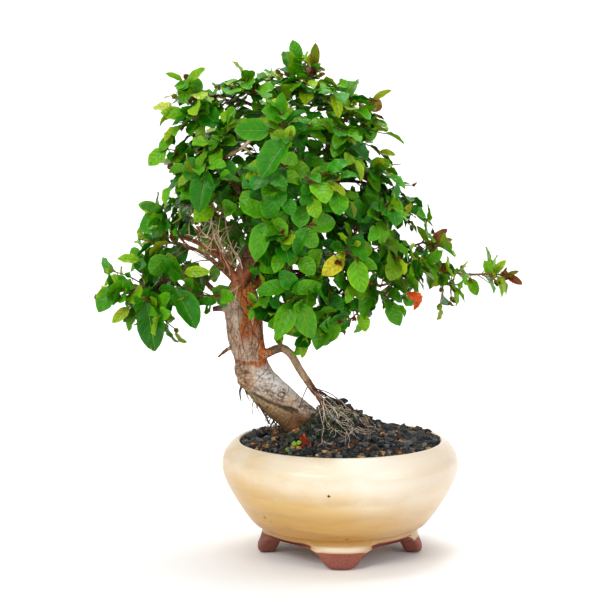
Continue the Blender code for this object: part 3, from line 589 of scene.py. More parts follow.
@dataclass(frozen=True)
class GritFinish:
    """Porous grains, whose tone says whether they are blue-black, brown, tan or pale."""

    name: str = "dark_grit"
    stops: Stops = (
        (0.0, hue(24, 26, 27)), (0.3, hue(50, 52, 53)), (0.46, hue(112, 113, 114)),
        (0.52, hue(80, 72, 58)), (0.66, hue(54, 42, 33)), (0.76, hue(112, 72, 44)),
        (0.83, hue(190, 130, 68)), (0.95, hue(206, 158, 98)), (1.0, hue(224, 216, 200)),
    )
    shadow: Quad = hue(22, 21, 20)
    pore: Quad = hue(16, 14, 14)

    def make(self) -> bpy.types.Material:
        """Builds the material.

        Returns:
            The material.
        """
        board = Board(self.name)
        kind, shade, _ = board.tone()
        grain = board.noise(900)
        colour = board.mix(shade * 0.3, board.ramp(kind, self.stops), self.shadow)
        colour = board.mix(grain.step(0.5, 0.34) * 0.5, colour, self.pore)
        return board.finish(colour, 0.88, grain, 0.0014, Specular_IOR_Level=0.3)


@dataclass(frozen=True)
class PlainFinish:
    """One material with a little cloudiness, for moss, roots and the net."""

    name: str
    dark: Quad
    light: Quad
    scale: float = 260.0
    roughness: float = 0.9

    def make(self) -> bpy.types.Material:
        """Builds the material.

        Returns:
            The material.
        """
        board = Board(self.name)
        clouds = board.noise(self.scale)
        colour = board.mix(clouds.step(0.3, 0.7), self.dark, self.light)
        return board.finish(colour, self.roughness, clouds, 0.0004)


class Finish(Enum):
    """The finishes of the plant and its pot."""

    LEAF = LeafFinish("leaf_green", (
        (0.0, hue(16, 96, 0)), (0.3, hue(46, 136, 0)), (0.58, hue(98, 166, 4)), (0.82, hue(140, 176, 14)),
        (1.0, hue(172, 184, 28)),
    ))
    YELLOW = LeafFinish(
        "leaf_yellow", ((0.0, hue(186, 190, 30)), (0.5, hue(222, 212, 40)), (1.0, hue(236, 228, 90))),
        vein=hue(236, 232, 130), blotch=0.25,
    )
    WITHERED = LeafFinish(
        "leaf_withered", ((0.0, hue(150, 46, 14)), (0.5, hue(214, 88, 26)), (1.0, hue(238, 132, 50))),
        vein=hue(236, 150, 70), blotch=0.85, shine=0.5,
    )
    FALLEN = LeafFinish(
        "leaf_fallen", ((0.0, hue(92, 28, 14)), (0.5, hue(158, 58, 32)), (1.0, hue(212, 120, 88))),
        vein=hue(206, 130, 80), blotch=0.4, shine=0.55,
    )
    SPROUT = LeafFinish(
        "seedling_green", ((0.0, hue(96, 156, 26)), (0.5, hue(128, 186, 40)), (1.0, hue(150, 200, 60)))
    )
    BARK = BarkFinish()
    TWIG = TwigFinish(
        "young_twig", ((0.3, hue(66, 56, 26)), (0.5, hue(112, 78, 44)), (0.7, hue(142, 92, 56)))
    )
    RUSTY = TwigFinish(
        "rusty_bark", ((0.3, hue(100, 46, 22)), (0.5, hue(164, 84, 44)), (0.72, hue(204, 134, 88)))
    )
    DEAD = TwigFinish(
        "dead_twig", ((0.3, hue(142, 90, 54)), (0.46, hue(212, 174, 132)), (0.62, hue(246, 228, 200)))
    )
    AERIAL = TwigFinish(
        "aerial_root", ((0.34, hue(74, 50, 32)), (0.5, hue(132, 102, 72)), (0.66, hue(172, 148, 118)))
    )
    FIBRE = PlainFinish("pale_roots", hue(178, 150, 124), hue(226, 212, 194), 300)
    ROOT_END = PlainFinish("root_end", hue(34, 18, 12), hue(132, 78, 56), 360)
    DARK_FIBRE = PlainFinish("dark_roots", hue(40, 26, 18), hue(84, 58, 40), 300)
    MOSS = PlainFinish("moss", hue(20, 32, 14), hue(76, 100, 34), 240)
    GLAZE = GlazeFinish()
    GRIT = GritFinish()
    NET = PlainFinish("drain_net", hue(26, 26, 28), hue(48, 48, 50), 200, 0.6)

    def material(self) -> bpy.types.Material:
        """The finish's material, which is built once."""
        return bpy.data.materials.get(f"{self.value.name}_finish") or self.value.make()


# Modelling


@dataclass
class Strand:
    """A round thing that runs through points of the layout, with a radius at each."""

    points: list[Vector]
    radii: list[float]

    def smooth(self, cuts: int = 4) -> "Strand":
        """The same strand on a smooth curve.

        Args:
            cuts: Pieces that each stretch is cut in.

        Returns:
            The finer strand.
        """
        points, radii = [], []
        last = len(self.points) - 1
        for i in range(last):
            p0, p3 = self.points[max(i - 1, 0)], self.points[min(i + 2, last)]
            p1, p2 = self.points[i], self.points[i + 1]
            for k in range(cuts):
                t = k / cuts
                points.append(0.5 * (
                    2 * p1 + (p2 - p0) * t + (2 * p0 - 5 * p1 + 4 * p2 - p3) * t * t
                    + (3 * p1 - p0 - 3 * p2 + p3) * t**3
                ))
                radii.append(self.radii[i] + (self.radii[i + 1] - self.radii[i]) * t)
        return Strand(points + [self.points[-1]], radii + [self.radii[-1]])


def strand_of(path: Sequence[Quad]) -> Strand:
    """A strand through (x, y, z, radius) points."""
    return Strand([Vector(p[:3]) for p in path], [p[3] for p in path])


def arched(start: Vector, bend: Vector, end: Vector, radii: Triple) -> Strand:
    """A strand from start to end whose middle is moved by the bend."""
    return Strand([start, start.lerp(end, 0.5) + bend, end], list(radii))


def rest() -> None:
    """Leaves edit mode and deselects everything."""
    if bpy.context.object and bpy.context.object.mode != "OBJECT":
        bpy.ops.object.mode_set(mode="OBJECT")
    bpy.ops.object.select_all(action="DESELECT")


def hold(piece: Piece) -> None:
    """Selects one piece alone and makes it the active one.

    Args:
        piece: The piece.
    """
    rest()
    piece.select_set(True)
    bpy.context.view_layer.objects.active = piece


def settle(piece: Piece) -> None:
    """Moves a piece's place, turn and scale into its mesh."""
    hold(piece)
    bpy.ops.object.transform_apply(location=True, rotation=True, scale=True)


def pick(piece: Piece, rule: Callable[[Vector], bool]) -> None:
    """Selects, in edit mode, the points that a rule takes by their place.

    Args:
        piece: The piece in edit mode.
        rule: Says whether a place is taken.
    """
    mesh = bmesh.from_edit_mesh(piece.data)
    for point in mesh.verts:
        point.select = rule(point.co)
    mesh.select_flush(True)
    mesh.select_flush(False)
    bmesh.update_edit_mesh(piece.data)


def carve(piece: Piece, rule: Callable[[Vector], Vector]) -> None:
    """Moves every point of a piece by a rule.

    Args:
        piece: The piece.
        rule: Gives the new place for an old one.
    """
    for point in piece.data.vertices:
        point.co = rule(point.co.copy())
    piece.data.update()


def change(piece: Piece, kind: str, **settings: object) -> None:
    """Adds a modifier and applies it.

    Args:
        piece: The piece.
        kind: The modifier's type.
        settings: The modifier's settings.
    """
    hold(piece)
    modifier = piece.modifiers.new(kind.title(), kind)
    for key, value in settings.items():
        setattr(modifier, key, value)
    bpy.ops.object.modifier_apply(modifier=modifier.name)


def roughen(piece: Piece, kind: str, size: float, depth: float, **settings: object) -> None:
    """Pushes a piece's surface in and out with a pattern.

    Args:
        piece: The piece.
        kind: The pattern, CLOUDS or VORONOI.
        size: The pattern's size in millimetres.
        depth: The whole travel in millimetres.
        settings: The pattern's other settings.
    """
    pattern = bpy.data.textures.new(f"{piece.name}_{kind.lower()}", kind)
    for key, value in {"noise_scale": size * METRE, **settings}.items():
        setattr(pattern, key, value)
    change(piece, "DISPLACE", texture=pattern, texture_coords="LOCAL", strength=depth * METRE, mid_level=0.5)


def join(name: str, pieces: Sequence[Piece]) -> Piece:
    """Joins pieces in the first one.

    Args:
        name: The whole's name.
        pieces: What is joined, the first with its object at the origin.

    Returns:
        The whole.
    """
    hold(pieces[0])
    for piece in pieces[1:]:
        piece.select_set(True)
    bpy.ops.object.join()
    whole = bpy.context.object
    whole.name = whole.data.name = name
    return whole


def thread(name: str, strands: Iterable[Strand], finish: Finish, roundness: int = 1) -> Piece:
    """Makes round strands as one mesh.

    Args:
        name: The piece's name.
        strands: What it holds.
        finish: Its finish.
        roundness: Bevel steps, where 1 gives 6 sides and 4 gives 12.

    Returns:
        The mesh.
    """
    rest()
    bpy.ops.curve.primitive_bezier_curve_add(location=(0, 0, 0))
    curve = bpy.context.object.data
    curve.splines.clear()
    curve.bevel_depth = METRE
    curve.bevel_resolution = roundness
    curve.use_fill_caps = True
    for strand in strands:
        spline = curve.splines.new("POLY")
        spline.points.add(len(strand.points) - 1)
        for knot, point, radius in zip(spline.points, strand.points, strand.radii):
            knot.co = (*placed(point), 1.0)
            knot.radius = radius
    bpy.ops.object.convert(target="MESH")
    piece = bpy.context.object
    piece.name = piece.data.name = name
    piece.data.materials.append(finish.material())
    bpy.ops.object.shade_smooth()
    return piece


def copied(pattern: Piece, matrix: Matrix, tone: Triple | None = None) -> Piece:
    """Copies a repeated piece, with its own mesh and tone.

    Args:
        pattern: The piece to copy.
        matrix: Where the copy lies.
        tone: The three numbers that its finish reads.

    Returns:
        The copy.
    """
    made = pattern.copy()
    made.data = pattern.data.copy()
    bpy.context.scene.collection.objects.link(made)
    made.matrix_world = matrix
    if tone:
        tint(made, tone)
    return made


def tint(piece: Piece, tone: Triple) -> None:
    """Writes the three numbers that a finish reads on every point of a piece.

    Args:
        piece: The piece.
        tone: The numbers.
    """
    attributes = piece.data.attributes
    layer = attributes.get("tone") or attributes.new("tone", "FLOAT_COLOR", "POINT")
    layer.data.foreach_set("color", [*tone, 1.0] * len(piece.data.vertices))


def keep(piece: Piece, slot: str, *nodes: str) -> None:
    """Says where a finished piece belongs.

    Args:
        piece: The piece.
        slot: Its material slot in the record; it is not used.
        nodes: The solids that it stands for.
    """
    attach(piece, "root")
    if nodes:
        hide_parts(*nodes)
    piece.data.calc_loop_triangles()
    LOG.info("%s: %d triangles", piece.name, len(piece.data.loop_triangles))


# Layout of the wood and leaves

TRUNK = (
    (4, 2, 66, 5), (-3, 2, 80, 7), (-15, 2, 95, 8), (-28, 1, 106.5, 8.6), (-39, 1, 115.5, 8.9),
    (-50, 1, 125, 9.8), (-61, 0, 133.5, 12.2), (-67, 0, 144, 12.6), (-70, 0, 154, 11.7),
    (-72.3, 0, 166, 11.3), (-75, 0, 181, 12.3), (-76, 0, 194, 12.2), (-74.5, 0, 204, 9.6),
    (-73, 0, 211, 6.5),
)
ROOT_LOBE = (
    (-23, -3, 66, 4), (-28, -4, 80, 5.6), (-34, -4, 93, 6.3), (-41.5, -4, 102.5, 6.7),
    (-49, -4, 109.5, 6.9), (-57, -3, 117, 7), (-65, -2, 128, 8.4),
)
KNOB = ((-64, -3, 133, 9), (-72, -4, 137, 7), (-76.5, -5, 137, 3.6))
AERIAL_ROOT = (
    (-64, -4, 150, 4.4), (-57, -6, 153, 3.4), (-49.4, -7, 156.6, 3.2), (-43, -8, 157.6, 3.1),
    (-36.5, -9, 152, 3), (-30.8, -10, 142, 2.9), (-25, -10.5, 133.5, 2.8), (-20, -11, 126, 2.2),
    (-15, -12, 119, 1.5), (-12.5, -12.5, 114, 1.2), (-11, -13, 104, 1.1),
)
ROOTLETS = (
    ((-22, -10.8, 129, 1.3), (-12, -14, 120, 0.9), (-4, -18, 112, 0.9), (0, -20, 101, 0.8)),
    ((-22, -10.8, 129, 1.3), (-10, -8, 124, 0.8), (2, -6, 116, 0.8), (12, -5, 100, 0.8)),
    ((-20, -11, 126, 1.3), (-16, -19, 112, 0.9), (-13, -26, 101, 0.9), (-11, -30, 92, 0.8)),
    ((-24, -10.6, 131, 1.2), (-28, -12, 122, 0.8), (-31, -14, 113, 0.8), (-32, -15, 99, 0.8)),
)
STUBS = (
    ((-72, -4, 160, 3.2), (-84, -6, 157.5, 1.8), (-93, -8, 150.5, 0.8)),
    ((-78, -3, 186, 3.6), (-90, -5, 188, 2.4), (-96.5, -6, 187, 1.9)),
    ((-78, -4, 195, 4.2), (-88, -6, 199, 3.2), (-90.5, -7, 202.5, 2.9)),
    ((-60, -8, 135, 3), (-52.5, -11, 137.5, 1.5), (-50.5, -11.5, 138.5, 1)),
    ((-63, -3, 262, 2.2), (-73, -22, 283, 1.5), (-84, -34, 299, 1.2), (-88, -36, 303, 1.1)),
)
BRANCHES = {
    "leader": (
        (-74, 0, 202, 8.6), (-72, -1, 215, 7.6), (-66, -2, 235, 5.6), (-59, -4, 265, 4.2),
        (-45, 0, 296, 3.1), (-34, 3, 326, 2.3), (-30, 1, 349, 1.5),
    ),
    "second_leader": (
        (-73, 4, 203, 7.2), (-69, 8, 216, 5.8), (-64, 18, 242, 4), (-54, 34, 268, 3),
        (-44, 48, 294, 2), (-40, 54, 312, 1.4),
    ),
    "left_upper": ((-62, -3, 256, 3.2), (-87, -13, 292, 2.1), (-108, -18, 318, 1.5)),
    "left_mid": ((-75, -2, 204, 4), (-101, -8, 228, 2.1), (-122, -12, 238, 1.5)),
    "left_lower": (
        (-77, 1, 190, 5), (-92, 4, 197, 3.4), (-106, 6, 209, 2.4), (-123, 4, 210, 1.9),
        (-144, 0, 204, 1.4),
    ),
    "right_lower": (
        (-70, -3, 202, 5), (-55, -10, 210, 3.4), (-36, -16, 212, 2.7), (-15, -22, 220, 2.1),
        (12, -24, 212, 1.6), (30, -20, 206, 1.3),
    ),
    "right_mid": (
        (-66, -2, 237, 4), (-44, -7, 248, 2.9), (-22, -8, 250, 2.4), (15, -5, 242, 1.9),
        (45, 0, 233, 1.5), (64, 2, 223, 1.3), (86, 1, 214, 1.1),
    ),
    "right_upper": ((-52, -2, 281, 3), (-16, -6, 304, 1.9), (8, -6, 320, 1.4)),
    "right_side": ((-60, -2, 262, 3.2), (-34, 5, 274, 2.3), (0, 11, 283, 1.7), (26, 12, 280, 1.3)),
    "top_left": ((-36, 2, 320, 2.3), (-66, -2, 340, 1.6), (-84, -6, 347, 1.2)),
    "front_low": ((-70, -4, 219, 3.6), (-62, -30, 232, 2.2), (-48, -54, 240, 1.5)),
    "front_high": ((-54, -2, 276, 3), (-50, -28, 292, 2), (-42, -50, 302, 1.4)),
    "front_left": ((-66, -3, 234, 3), (-88, -28, 258, 1.9), (-98, -44, 270, 1.4)),
    "back_low": ((-72, 6, 212, 3.8), (-74, 36, 228, 2.3), (-66, 66, 236, 1.6)),
    "back_right": ((-62, 21, 248, 2.8), (-28, 46, 256, 1.9), (0, 62, 254, 1.4)),
    "back_left": ((-65, 15, 236, 2.8), (-90, 38, 252, 1.8), (-106, 52, 260, 1.3)),
    "back_under": ((-70, 8, 208, 3.4), (-40, 34, 212, 2.1), (-8, 54, 208, 1.5)),
}
SPRAYS = {
    "crest": (-37, -7, 366), "crest_bud": (-22, 5, 368), "crown_left": (-72, -10, 360),
    "crown_right": (6, -12, 344), "left_horn": (-117, -20, 348), "left_high": (-94, 10, 348),
    "left_shoulder": (-117, -16, 324), "left_brow": (-124, -8, 298), "left_cheek": (-112, 16, 280),
    "left_wing_high": (-134, -14, 256), "left_wing": (-140, 8, 238), "left_tip": (-168, -8, 200),
    "left_low": (-152, 8, 184), "left_drop": (-140, -14, 172), "left_inner": (-110, -20, 198),
    "left_back": (-146, 32, 214), "right_horn": (20, 4, 336), "right_high": (16, 16, 312),
    "right_brow": (24, -12, 294), "right_cheek": (36, 14, 276), "right_shoulder": (50, 2, 254),
    "right_bud": (70, 8, 238), "long_shoot": (122, -2, 213), "shoot_base": (84, -12, 204),
    "right_wing": (60, -20, 226), "right_low": (40, -10, 192), "right_drop": (12, -22, 186),
    "low_mid": (-10, -28, 177), "low_drop": (-28, -20, 170), "trunk_side": (-46, -14, 188),
    "front_high": (-42, -54, 334), "front_high_left": (-84, -44, 322),
    "front_high_right": (-2, -46, 322), "front_left": (-106, -50, 292), "front_mid": (-56, -82, 290),
    "front_mid_right": (-10, -76, 284), "front_right": (34, -52, 270), "front_low": (-40, -76, 246),
    "front_low_right": (4, -64, 240), "front_low_far": (40, -42, 230), "front_base": (-26, -50, 206),
    "back_high": (-50, 56, 336), "back_high_left": (-98, 44, 316), "back_high_right": (2, 48, 318),
    "back_left": (-118, 58, 270), "back_mid": (-66, 88, 282), "back_mid_right": (-14, 82, 276),
    "back_right": (36, 56, 258), "back_low_left": (-100, 72, 230), "back_low": (-48, 92, 234),
    "back_low_right": (14, 70, 222),
}
ODD_LEAVES = {
    "yellow_leaf": ("front_low_far", 0, (3, -50, 229), (-15, -56, 219)),
    "withered_leaf": ("front_low_far", 1, (49, -28, 203), (56, -33, 187)),
}
FALLEN_LEAF_AT = (-25.5, -43)
SEEDLING_AT = (-37.5, -46)
SEEDLING_TOP = 5.2

LEAF_LENGTH = 20
LEAF_OUTLINE = ((0.34, 0.30, 0.05), (0.72, 0.23, 0.02))
LEAF_DROOP = 0.12
STEM_LENGTH = 42
STEM_RADIUS = (0.95, 0.6)
TWIG_RADIUS = (0.65, 0.55)
NODE_SHARES = (0.34, 0.56, 0.78)
TWIG_NODE = 0.55
CROWN_CENTRE = Vector((-44, 4, 245))
WOODY = ("wood", "twig")
SHOOT_SHARES = (0.08, 0.2, 0.32, 0.45, 0.67, 0.88)
LIMB_SHARES = (0.25, 0.4, 0.55, 0.7, 0.85)
OPENINGS = (
    (-88, 234, 19, 28, 14), (-103, 228, 15, 8, 90), (-91, 211, 8, 8, 90), (-100, 200, 8, 8, 90),
    (-131, 236, 8, 7, 90), (-90, 267, 6, 4, 90), (55, 243, 11, 11, 90), (69, 226, 12, 5, 90),
    (-137, 346, 8, 6, 90), (-134, 285, 8, 12, 90), (-101, 352, 8, 6, 90), (19, 175, 9, 8, 90),
    (-77, 305, 8, 7, -18), (-32, 331, 4, 8, 0), (-27, 216, 11, 4, -14),
)
STEM_SHARES = (0.06, 0.18, 0.3, 0.42, 0.5, 0.62, 0.72, 0.86, 0.94)
SPARSE = {"long_shoot": 7, "right_bud": 16, "shoot_base": 12, "right_low": 34, "left_tip": 34}
RUSTY_TIPS = ("crest_bud", "right_horn", "right_shoulder", "right_bud", "long_shoot")
EDGE_SHOOTS = (
    (-58, -9, 209, -57, -27, 200), (-50, -12, 210.5, -47, -32, 203), (-62, -7, 206, -60, -24, 190),
    (-44, -14, 211, -40, -31, 196), (-54, -10, 209, -52, -22, 186), (-36, -16, 212, -32, -36, 206),
    (-64, -6, 216, -58, -22, 214), (-66, -4, 222, -60, -16, 226), (-30, 1, 350, -31, -4, 377),
    (-34, 3, 340, -46, -4, 360), (-110, -18, 334, -112, -19, 354), (-106, -16, 326, -108, -14, 346),
    (20, 12, 280, 52, 6, 270), (24, 12, 290, 46, 8, 296), (30, 8, 270, 60, 2, 256),
    (-150, 0, 206, -172, -6, 216), (-130, 0, 232, -152, -4, 240), (68, 4, 226, 80, 4, 241),
    (-112, -10, 300, -129, -12, 308), (36, 14, 276, 54, 8, 280), (-66, -2, 340, -62, -4, 364),
    (-50, 0, 345, -52, -3, 368), (-10, -6, 344, 0, -8, 358), (20, 4, 336, 32, 4, 347),
    (-66, -1, 238, -71, -20, 258), (-168, -8, 200, -181, -8, 198), (-152, 8, 184, -160, 4, 177),
    (12, -22, 186, 3, -24, 174), (40, -10, 192, 43, -12, 183), (84, -6, 208, 90, -8, 218),
    (112, -2, 212, 121, -3, 219), (-24, 3, 335, -18, -6, 348), (-60, -2, 296, -67, -8, 312),
    (-64, -3, 262, -80, 2, 272), (-14, -8, 248, -3, -10, 252), (-30, -8, 246, -21, -12, 237),
    (30, -20, 206, 34, -14, 218), (-20, 4, 330, -12, -10, 341),
)
CROWN_OUTLINE = (
    (-190, 187, 200), (-179, 190, 209), (-172, 178, 212), (-164, 171, 230), (-157, 170, 250),
    (-149, 160, 268), (-141, 158, 301), (-134, 164, 334), (-126, 176, 362), (-119, 181, 364),
    (-103, 181, 367), (-88, 182, 362), (-73, 180, 368), (-58, 170, 373), (-50, 166, 374), (-43, 160, 366),
    (-36, 156, 386), (-27, 152, 387), (-20, 160, 385), (-12, 161, 371), (-5, 166, 364), (3, 168, 363),
    (11, 179, 360), (18, 181, 350), (33, 182, 352), (41, 175, 308), (49, 184, 293), (56, 190, 276),
    (64, 194, 268), (71, 195, 250), (87, 202, 248), (94, 196, 226), (102, 205, 217), (117, 206, 225),
    (125, 208, 225), (136, 204, 214),
)
# Each row holds a leaf's foot and tip, then the youth, darkness and rust of its green; the darkness is
# painted shade.
FEATURE_LEAVES = (
    (-37, -84, 319, -57, -90, 289, 0.3, 0.45, 0), (-97, -56, 296, -103, -62, 264, 0.25, 0.7, 0),
    (-146, -20, 196, -138, -26, 159, 0.2, 0.9, 0), (-124, -26, 206, -108, -32, 176, 0.22, 0.6, 0),
    (-33, -52, 199, -21, -58, 173, 0.4, 0.4, 0.3), (-37, -50, 199, -47, -56, 173, 0.5, 0.3, 0),
    (-52, -70, 260, -63, -76, 231, 0.4, 0.3, 0), (-50, -62, 322, -77, -66, 323, 0.35, 0.4, 0),
    (5, -70, 272, -20, -76, 271, 0.3, 0.5, 0), (-118, -16, 216, -98, -24, 218, 0.8, 0, 0),
    (-38, -52, 209, -62, -56, 207, 0.35, 0.3, 0), (-37, -52, 205, -16, -56, 212, 0.45, 0.1, 0),
    (10, -56, 231, 15, -60, 206, 0.55, 0.1, 0), (8, -52, 230, 25, -56, 222, 0.5, 0.1, 0),
    (-24, -74, 255, -35, -78, 236, 0.3, 0.4, 0), (-50, -70, 262, -42, -76, 244, 0.5, 0.1, 0),
    (-53, -70, 262, -74, -72, 271, 0.45, 0.2, 0), (-169, -8, 207, -181, -14, 186, 0.35, 0.3, 0.2),
    (-158, -10, 190, -171, -14, 178, 0.85, 0, 0.35), (-31, -6, 372, -36, -8, 388, 0.4, 0.2, 0),
    (-21, -2, 366, -19, -4, 386, 0.7, 0, 0.55), (-116, -19, 357, -129, -21, 364, 0.7, 0, 0.1),
    (-114, -19, 356, -101, -21, 368, 0.7, 0, 0.1), (-115, -20, 359, -116, -26, 341, 0.5, 0, 0),
    (-114, -18, 333, -133, -20, 335, 0.6, 0, 0), (-124, -14, 318, -135, -16, 307, 0.5, 0.1, 0),
    (-129, -12, 308, -143, -14, 296, 0.6, 0, 0.2), (-126, -10, 297, -112, -14, 284, 0.4, 0.2, 0),
    (-135, -10, 263, -151, -12, 266, 0.6, 0.1, 0), (-131, -14, 262, -143, -18, 249, 0.6, 0, 0),
    (-150, -6, 224, -167, -10, 226, 0.7, 0, 0), (-122, -16, 216, -133, -22, 228, 0.3, 0.3, 0),
    (23, 3, 343, 38, 1, 351, 0.9, 0, 0.45), (-6, -30, 350, -2, -38, 331, 0.85, 0, 0.15),
    (28, 4, 305, 41, 2, 303, 0.9, 0, 0.4), (22, -2, 293, 35, -6, 300, 0.8, 0, 0),
    (21, -6, 291, 28, -12, 276, 0.55, 0, 0), (22, -24, 204, 16, -28, 183, 0.4, 0.3, 0),
    (36, -18, 196, 44, -22, 177, 0.4, 0.4, 0.2), (-10, -30, 179, -18, -34, 160, 0.45, 0.2, 0),
    (-2, -30, 182, -8, -34, 166, 0.5, 0.2, 0), (-26, -24, 170, -29, -26, 153, 0.7, 0, 0.35),
    (-42, -20, 178, -48, -24, 166, 0.5, 0, 0), (-64, -20, 194, -69, -22, 202, 0.6, 0, 0),
    (-64, -19, 190, -68, -22, 181, 0.5, 0, 0), (68, 0, 234, 79, -2, 248, 0.9, 0, 0.7),
    (69, 0, 236, 84, -2, 240, 0.9, 0, 0.55), (66, 0, 236, 58, -2, 250, 0.8, 0, 0.3),
    (46, 0, 256, 53, -2, 267, 1, 0, 0.4), (124, -2, 213, 137, -4, 206, 0.9, 0, 0.8),
    (124, -2, 212, 134, -4, 216, 0.8, 0, 0.6), (114, -2, 213, 124, -4, 224, 0.8, 0, 0.1),
    (113, -2, 213, 108, -4, 224, 0.6, 0, 0), (98, -2, 211, 103, -6, 198, 0.6, 0, 0),
)
EYE = Vector((-27.5, -1400.0, 350.0))


def sides_of(rows: int, sides: int) -> list[tuple[int, int, int]]:
    """The faces between rows of points that go round a shape."""
    corners = [(row * sides + k, row * sides + (k + 1) % sides) for row in range(rows) for k in range(sides)]
    return [face for a, b in corners for face in ((a, b, b + sides), (a, b + sides, a + sides))]


def tube(path: Sequence[Quad], sides: int, grow: float = 0.0, knurl: float = 0.0) -> Shape:
    """A closed tube, which stands for a piece of wood while the leaves are laid out.

    Args:
        path: Points with their radii.
        sides: Number of sides.
        grow: What the tube is fattened and lengthened by.
        knurl: How much its sides are waved.

    Returns:
        Points and faces.
    """
    centres = [Vector(p[:3]) for p in path]
    ends = zip([centres[0], *centres], [*centres[1:], centres[-1]])
    tangents = [(after - before).normalized() for before, after in ends]
    centres[0] -= tangents[0] * grow
    centres[-1] += tangents[-1] * grow
    across = tangents[0].orthogonal().normalized()
    points = []
    for i, (centre, tangent) in enumerate(zip(centres, tangents)):
        across = (across - tangent * across.dot(tangent)).normalized()
        beside = tangent.cross(across)
        for k in range(sides):
            angle = math.tau * k / sides
            wave = 1 + knurl * math.sin(3 * angle + 0.9 * i) * math.cos(1.7 * i)
            reach = path[i][3] * wave + grow
            points.append(centre + (across * math.cos(angle) + beside * math.sin(angle)) * reach)
    last = len(points) - sides
    faces = sides_of(len(path) - 1, sides) + [(0, k + 1, k) for k in range(1, sides - 1)]
    return points, faces + [(last, last + k, last + k + 1) for k in range(1, sides - 1)]


def tapered(points: Sequence[Vector], radii: tuple[float, float], grow: float = 0.0, skip: int = 0) -> Shape:
    """A stem or twig as a tube whose radius falls evenly.

    Args:
        points: Its axis.
        radii: Its first and last radius.
        grow: What it is fattened by.
        skip: How many of its first points are left out.

    Returns:
        Points and faces.
    """
    last = len(points) - 1
    path = [(*p, radii[0] + (radii[1] - radii[0]) * i / last) for i, p in enumerate(points)]
    return tube(path[skip:], 3, grow)


def searched(shape: Shape) -> tuple[BVHTree, list[float], list[float]]:
    """A shape's search tree and the two corners of its box."""
    columns = list(zip(*shape[0]))
    return BVHTree.FromPolygons(*shape), [min(c) for c in columns], [max(c) for c in columns]


@dataclass
class Leaf:
    """A leaf's base, the way it points, the way its face looks and its length."""

    base: Vector
    along: Vector
    normal: Vector
    length: float
    tone: Triple | None = None
    width: float = 1.0

    def at(self, share: float) -> Vector:
        """A place on the midrib."""
        return self.base + self.along * self.length * share

    def scaled(self, factor: float) -> "Leaf":
        """A plain leaf of another length in the same place."""
        return Leaf(self.base, self.along, self.normal, self.length * factor)

    def matrix(self) -> Matrix:
        """Where a leaf pattern of unit length lies in the scene.

        Returns:
            The place, turn and scale.
        """
        scale = self.length * METRE
        across = self.along.cross(self.normal) * self.width
        axes = [v * scale for v in (across, self.along, self.normal)]
        corner = placed(self.base)
        return Matrix([[*(axis[k] for axis in axes), corner[k]] for k in range(3)] + [[0, 0, 0, 1]])

    def room(self, thick: float, start: float) -> Shape:
        """The room that the blade needs.

        Args:
            thick: Its thickness.
            start: The share of the length at which it starts.

        Returns:
            Points and faces.
        """
        side = self.normal.cross(self.along)
        rows = [(self.base + self.along * start * self.length, 0.04 * self.length)]
        for reach, half, rise in (*LEAF_OUTLINE, (1.0, 0.0, -LEAF_DROOP)):
            middle = self.base + (self.along * reach + self.normal * rise) * self.length
            rows.append((middle, half * self.length))
        points = [
            middle + side * half * across + self.normal * thick / 2 * up
            for middle, half in rows for across, up in ((1, 1), (-1, 1), (-1, -1), (1, -1))
        ]
        return points, sides_of(3, 4)


def path_length(axis: Sequence[Vector]) -> float:
    """Length of a path of points."""
    return sum((b - a).length for a, b in zip(axis, axis[1:]))


def place_along(axis: Sequence[Vector], distance: float) -> tuple[Vector, Vector]:
    """A place on a path.

    Args:
        axis: The path's points.
        distance: How far along it the place is.

    Returns:
        The point there and the path's heading.
    """
    for a, b in zip(axis, axis[1:]):
        span = (b - a).length
        if distance <= span or b is axis[-1]:
            return a.lerp(b, distance / span), (b - a).normalized()
        distance -= span
    raise ValueError("a path needs two points")


def seen(point: Vector) -> Vector:
    """Where the camera sees a point against the plane through the pot's axis."""
    return EYE + (point - EYE) * (-EYE.y / (point.y - EYE.y))


def in_opening(point: Vector) -> bool:
    """Whether a point lies over one of the crown's openings: the dead twigs or a gap.

    Args:
        point: The point.

    Returns:
        Whether a leaf there would hide the opening.
    """
    place = seen(point)
    return any(
        point.y < depth and ((place.x - x) / wide) ** 2 + ((place.z - z) / high) ** 2 < 1
        for x, z, wide, high, depth in OPENINGS
    )


def in_outline(point: Vector) -> bool:
    """Whether a point lies within the crown's outline, as it is seen from the front.

    Args:
        point: The point.

    Returns:
        Whether a leaf may reach it.
    """
    place = seen(point)
    notch = 3.0 * (1 + math.sin(place.x * 0.5) * math.cos(place.x * 0.21))
    place.x += (3.5 + 4.5 * math.sin(place.z * 0.42)) * (1 if place.x > -40 else -1)
    for (a, low, high), (b, next_low, next_high) in zip(CROWN_OUTLINE, CROWN_OUTLINE[1:]):
        if a <= place.x <= b:
            share = (place.x - a) / (b - a)
            bottom, top = low + (next_low - low) * share, high + (next_high - high) * share
            return bottom + notch < place.z < top - notch
    return False


def drawn_leaf(rng: random.Random, axis: Sequence[Vector], share: float, side: int, size: float) -> Leaf:
    """A leaf that only the dressed plant has.

    Args:
        rng: The spray's own draws.
        axis: The wood that it grows on.
        share: How far along.
        side: Which side of it, or 0 at the end.
        size: Its share of the full length.

    Returns:
        The leaf.
    """
    here, heading = place_along(axis, path_length(axis) * min(share, 1.0) - 1e-6)
    jitter = anywhere(rng)
    normal = (outward(here) * 0.85 + UP * 0.45 + jitter * 0.6).normalized()
    beside = normal.cross(heading).normalized() * side
    along = heading * (0.7 if side else 1.4) + beside * rng.uniform(0.7, 1.3)
    along = (along - UP * rng.uniform(0.0, 0.6) + jitter * 0.2).normalized()
    return Leaf(here, along, squared(normal, along), LEAF_LENGTH * size * rng.uniform(0.7, 1.25))


